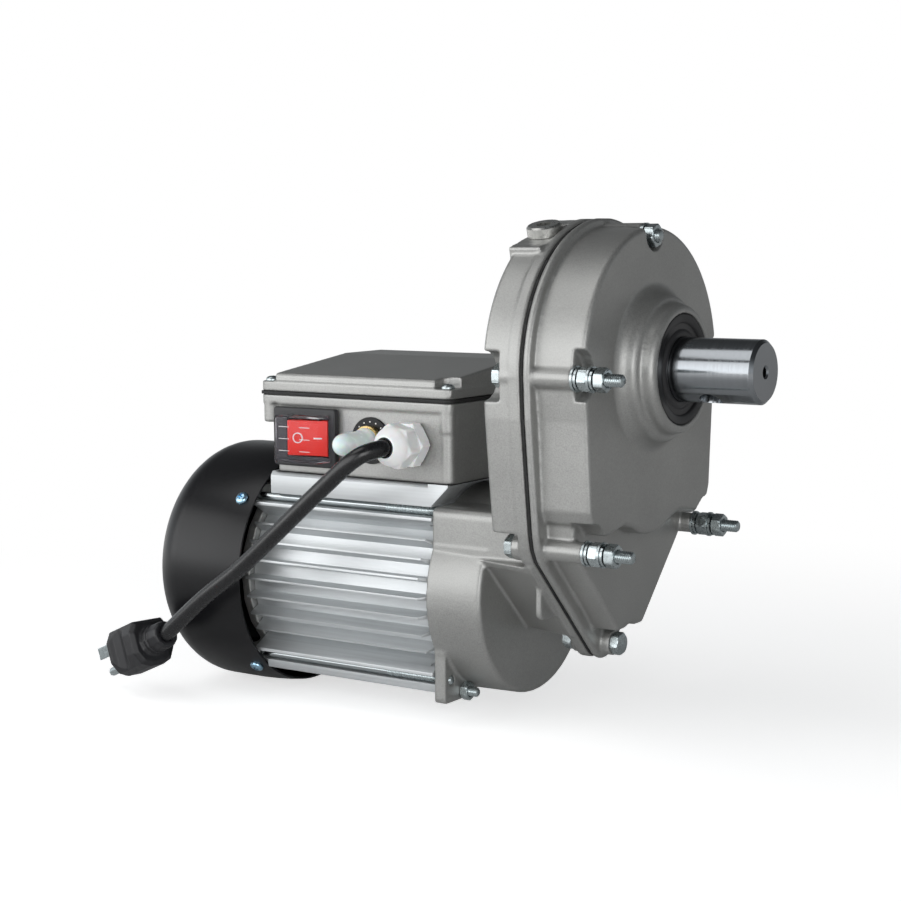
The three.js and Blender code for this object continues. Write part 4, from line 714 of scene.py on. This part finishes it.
# ---------------------------------------------------------------- terminal box
def make_terminal_box():
    body = cast_copy("terminal_box_body", 0.7, 3)
    place("box_body", body, "cast", stands_for=["terminal_box_body"], smooth=0)
    lid = cast_copy("terminal_box_lid", 0.6, 3)
    place("box_lid", lid, "cast", stands_for=["terminal_box_lid"], smooth=0)
    place("lid_seal", bevelled("lid_gasket", 0.3), "gasket", stands_for=["lid_gasket"])
    base = [(SEAM_X - 162, BOX_FRONT_Y + 0.3), (SEAM_X - 54, -BOX_FRONT_Y - 0.3)]
    low, high = MOTOR_Z + 55.5, MOTOR_Z + 55.8
    (x0, y0), (x1, y1) = base
    corners = [(x, y, z) for z in (low, high) for x, y in ((x0, y0), (x1, y0), (x1, y1), (x0, y1))]
    faces = [(0, 3, 2, 1), (4, 5, 6, 7), (0, 1, 5, 4), (1, 2, 6, 5), (2, 3, 7, 6), (3, 0, 4, 7)]
    place("base_seal", mesh_from(corners, faces), "gasket")
    for k, x in enumerate((SEAM_X - 166.4, SEAM_X - 58.4)):
        for m, y in enumerate((BOX_FRONT_Y + 4.6, -BOX_FRONT_Y - 4.6)):
            screw_head(f"lid_screw_{k}{m}", (x, y, MOTOR_Z + 101.6), (0, 0, 1), 3.5)


ROCKER_TILT = math.radians(12.4)
ROCKER_PIVOT = (SEAM_X - 138, BOX_FRONT_Y + 0.6)


def on_rocker(x, y, z):
    """A point given in the level rocker's own plane, turned with the rocker."""
    turn_cos, turn_sin = math.cos(ROCKER_TILT), math.sin(ROCKER_TILT)
    return (ROCKER_PIVOT[0] + x * turn_cos - y * turn_sin, ROCKER_PIVOT[1] + x * turn_sin + y * turn_cos, z)


def make_switch():
    place("switch_case", bevelled("switch_body", 0.35), "black_plastic", stands_for=["switch_body"])
    place("rocker_cap", bevelled("switch_rocker", 0.5, 3), "red_plastic", "rocker", ["switch_rocker"])
    place("hood_shell", bevelled("switch_hood", 0.25, join_flats=False), "clear_plastic",
          stands_for=["switch_hood"])
    lift = 0.14
    slope = 1.3 / 11

    def face_y(x):
        return -5 - slope * abs(x) - lift

    ring, bar = [], []
    outer, inner, steps = 2.7, 2.15, 48
    for i in range(steps):
        angle = 2 * math.pi * i / steps
        for radius in (inner, outer):
            for rise in (0, 0.3):
                x = -5.4 + radius * math.cos(angle)
                ring.append(on_rocker(x, face_y(x) + rise, SWITCH_Z + radius * math.sin(angle)))
    faces = []
    for i in range(steps):
        a, b = 4 * i, 4 * ((i + 1) % steps)
        faces += [(a, b, b + 2, a + 2), (a + 1, a + 3, b + 3, b + 1), (a, a + 1, b + 1, b),
                  (a + 2, b + 2, b + 3, a + 3)]
    place("rocker_mark_off", mesh_from(ring, faces), "marking_white", "rocker", slot="red_plastic")
    for x in (3.4, 7.6):
        for z in (-0.35, 0.35):
            for rise in (0, 0.3):
                bar.append(on_rocker(x, face_y(x) + rise, SWITCH_Z + z))
    bar_faces = [(0, 1, 3, 2), (4, 6, 7, 5), (0, 4, 5, 1), (2, 3, 7, 6), (0, 2, 6, 4), (1, 5, 7, 3)]
    place("rocker_mark_on", mesh_from(bar, bar_faces), "marking_white", "rocker", slot="red_plastic")
    front = BOX_FRONT_Y - 12.8
    # The clear hood's ribs are drawn in opaque white: painted highlights standing in for the glints on the clear
    # plastic ridges.
    for k in range(3):
        for m, x in enumerate((SEAM_X - 145, SEAM_X - 132)):
            at = (x - 4, front + 0.2, SWITCH_Z - 6 + 6 * k)
            rib = turned([(0, 0), (0, 0.18), (6.4, 0.18), (6.4, 0)], at, (1, 0, 0), 16)
            place(f"hood_rib_glint_{k}{m}", rib, "marking_white", slot="clear_plastic")


def make_reset():
    x, z = RESET
    plate = turned([(0, 6.5), (0, 11.4), (0.3, 11.6), (1.1, 11.6), (1.1, 6.5), (0, 6.5)],
                   (x, BOX_FRONT_Y - 0.6, z), (0, 1, 0), 96)
    place("label_disc", plate, "black_paint", stands_for=["reset_label_plate"])
    for k in range(16):
        angle = 2 * math.pi * k / 16
        spot = (x + 9.3 * math.cos(angle), BOX_FRONT_Y - 0.75, z + 9.3 * math.sin(angle))
        tick = turned([(0, 0), (0, 0.35), (0.2, 0.35), (0.2, 0)], spot, (0, 1, 0), 12)
        place(f"label_tick_{k}", tick, "marking_white", slot="black_paint")
    collar = nut(0, 3.2, (x, BOX_FRONT_Y - 3.9, z), flats=13.4, bore=6.1, turn=0.3, direction=(0, 1, 0))
    place("breaker_collar", collar, "brass")
    back = BOX_FRONT_Y - 4.1
    outline = [(0, 3.6), (0, 6.6), (1.6, 6.7), (3, 6.4), (4, 5.85), (6, 5.7), (17, 5.6)]
    for i in range(1, 13):
        angle = math.pi / 2 * i / 12
        outline.append((17 + 7 * math.sin(angle), 5.6 * math.cos(angle)))
    inside = [(23.2, 0), (22.9, 1.6), (21.7, 3.2), (17, 4.2), (4, 4.2), (0, 3.6)]
    boot = turned([*outline[:-1], (24, 0), *inside], (x, back, z), (0, -1, 0), 72)
    place("boot_cover", boot, "milky_silicone", stands_for=["reset_boot"])
    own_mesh(bpy.data.objects["boot_cover"])


def make_gland():
    x, z = GLAND
    hexagon_body = turned([(0.2, 5.2), (0.2, 11), (0.8, 12), (6.8, 12), (7.4, 11), (7.4, 5.2), (0.2, 5.2)],
                          (x, BOX_FRONT_Y, z), (0, -1, 0), 96, hexagon_outer(20.8, 0, 6))
    place("gland_hex", hexagon_body, "white_nylon", stands_for=["gland_body"])
    profile = [(0, 5.1), (0, 10.4), (0.6, 11.2), (6.6, 11.2), (7.6, 10.6), (8.2, 9.9), (9.2, 9.6),
               (10.4, 9.1), (11.6, 8.2), (12.8, 7.2), (13.9, 6.4), (14.3, 5.9), (14.3, 5.1), (0, 5.1)]

    def ribbed(distance, radius, angle):
        sector = (angle + 0.25) % (math.pi / 3) - math.pi / 6
        flat = 9.9 / math.cos(sector)
        if radius <= 6.5:
            return radius
        return min(radius, flat) if distance < 7.6 else min(radius, flat + (distance - 7.6) * 0.6)

    place("gland_dome", turned(profile, (x, BOX_FRONT_Y - 7.7, z), (0, -1, 0), 192, ribbed), "white_nylon",
          stands_for=["gland_nut"])
    ring = turned([(0, 4.3), (0, 5.0), (1.1, 5.0), (1.3, 4.6), (1.1, 4.3), (0, 4.3)],
                  (x, BOX_FRONT_Y - 20.9, z), (0, -1, 0), 64)
    place("gland_grommet", ring, "lamp_black", slot="gasket")


make_terminal_box()
make_switch()
make_reset()
make_gland()


# ---------------------------------------------------------------- studio
def area_light(name, at, target, size, power, tall=None):
    data = bpy.data.lights.new(name, "AREA")
    data.energy = power
    data.size = size
    if tall:
        data.shape = "RECTANGLE"
        data.size_y = tall
    lamp = bpy.data.objects.new(name, data)
    lamp.location = at
    lamp.rotation_euler = (Vector(target) - Vector(at)).to_track_quat("-Z", "Y").to_euler()
    bpy.context.scene.collection.objects.link(lamp)


def ramp_node(tree, value, low, high, first, last):
    """Smooth change from first to last as the value goes from low to high."""
    ramp = tree.nodes.new("ShaderNodeMapRange")
    ramp.interpolation_type = "SMOOTHSTEP"
    ramp.inputs["From Min"].default_value = low
    ramp.inputs["From Max"].default_value = high
    ramp.inputs["To Min"].default_value = first
    ramp.inputs["To Max"].default_value = last
    tree.links.new(value, ramp.inputs["Value"])
    return ramp.outputs["Result"]


def towards_front(tree, vector):
    """How far a direction or a place lies towards the left front, where the large softbox stands."""
    dot = tree.nodes.new("ShaderNodeVectorMath")
    dot.operation = "DOT_PRODUCT"
    tree.links.new(vector, dot.inputs[0])
    dot.inputs[1].default_value = (-0.45, -0.9, 0)
    return dot.outputs["Value"]


def mix_shaders(tree, factor, first, second, target):
    mix = tree.nodes.new("ShaderNodeMixShader")
    tree.links.new(factor, mix.inputs["Fac"])
    tree.links.new(first, mix.inputs[1])
    tree.links.new(second, mix.inputs[2])
    tree.links.new(mix.outputs["Shader"], target)


def make_world():
    """White behind the part. The surround that lights it is darker overhead and at the back."""
    world = bpy.data.worlds.new("studio")
    world.use_nodes = True
    tree = world.node_tree
    seen = tree.nodes["Background"]
    seen.inputs["Color"].default_value = (1, 1, 1, 1)
    seen.inputs["Strength"].default_value = 1.0
    surround = tree.nodes.new("ShaderNodeBackground")
    surround.inputs["Color"].default_value = (0.93, 0.97, 1, 1)
    parts = tree.nodes.new("ShaderNodeSeparateXYZ")
    tree.links.new(tree.nodes.new("ShaderNodeTexCoord").outputs["Generated"], parts.inputs["Vector"])
    product = tree.nodes.new("ShaderNodeMath")
    product.operation = "MULTIPLY"
    tree.links.new(ramp_node(tree, parts.outputs["Z"], 0.05, 0.6, 1.0, 0.15), product.inputs[0])
    facing = towards_front(tree, parts.inputs["Vector"].links[0].from_socket)
    tree.links.new(ramp_node(tree, facing, -0.9, 0.6, 0.35, 1.0), product.inputs[1])
    tree.links.new(product.outputs["Value"], surround.inputs["Strength"])
    camera_ray = tree.nodes.new("ShaderNodeLightPath").outputs["Is Camera Ray"]
    mix_shaders(tree, camera_ray, surround.outputs["Background"], seen.outputs["Background"],
                tree.nodes["World Output"].inputs["Surface"])
    bpy.context.scene.world = world


def glow(tree, strength):
    node = tree.nodes.new("ShaderNodeEmission")
    node.inputs["Strength"].default_value = strength
    return node.outputs["Emission"]


def make_floor():
    """Pale floor with a soft shadow, which fades into the white background away from the part. In reflections and
    bounce light the floor away from the part glows instead, brighter towards the left front: painted light
    standing in for the softbox's light falling on the floor.
    """
    look = surface("floor_paper", (0.85, 0.85, 0.85), 0.0, 0.9, [(3, EVEN, 0.005, 0.02, 0)])
    tree = look.node_tree
    paper = tree.nodes["Principled BSDF"].outputs["BSDF"]
    lifted = tree.nodes.new("ShaderNodeAddShader")
    tree.links.new(paper, lifted.inputs[0])
    tree.links.new(glow(tree, 0.62), lifted.inputs[1])
    length = tree.nodes.new("ShaderNodeVectorMath")
    length.operation = "LENGTH"
    tree.links.new(tree.nodes.new("ShaderNodeTexCoord").outputs["Object"], length.inputs[0])
    fade = ramp_node(tree, length.outputs["Value"], 0.2, 0.6, 0.0, 1.0)
    camera_view = tree.nodes.new("ShaderNodeMixShader")
    mix_shaders(tree, fade, lifted.outputs["Shader"], glow(tree, 1.0), camera_view.inputs[2])
    spot = length.inputs[0].links[0].from_socket
    # Painted light: for reflections and bounce light the far floor glows, brighter towards the left front where
    # the softbox stands.
    painted_floor_glow = tree.nodes.new("ShaderNodeEmission")
    tree.links.new(ramp_node(tree, towards_front(tree, spot), -0.7, 0.5, 0.4, 1.15), painted_floor_glow.inputs["Strength"])
    wide_fade = ramp_node(tree, length.outputs["Value"], 0.25, 1.1, 0.0, 1.0)
    mix_shaders(tree, wide_fade, paper, painted_floor_glow.outputs["Emission"], camera_view.inputs[1])
    camera_ray = tree.nodes.new("ShaderNodeLightPath").outputs["Is Camera Ray"]
    tree.links.new(camera_ray, camera_view.inputs["Fac"])
    tree.links.new(camera_view.outputs["Shader"], tree.nodes["Material Output"].inputs["Surface"])
    side = 40
    mesh = bpy.data.meshes.new("floor")
    mesh.from_pydata([(-side, -side, 0), (side, -side, 0), (side, side, 0), (-side, side, 0)], [],
                     [(0, 1, 2, 3)])
    mesh.materials.append(look)
    floor = bpy.data.objects.new("floor", mesh)
    floor.location = (-0.1, 0, cad_bounds[0].z - 0.0005)
    bpy.context.scene.collection.objects.link(floor)


def make_studio():
    centre = (-0.09, 0, -0.06)
    area_light("key", (-0.95, -1.35, 0.42), centre, 2.2, 15, 1.1)
    area_light("top", (-0.7, -0.6, 1.3), centre, 1.0, 4, 0.8)
    area_light("right_front", (0.95, -1.25, 0.2), centre, 0.9, 8, 0.9)
    make_world()
    make_floor()
    bpy.context.scene.view_settings.view_transform = "Standard"


make_studio()
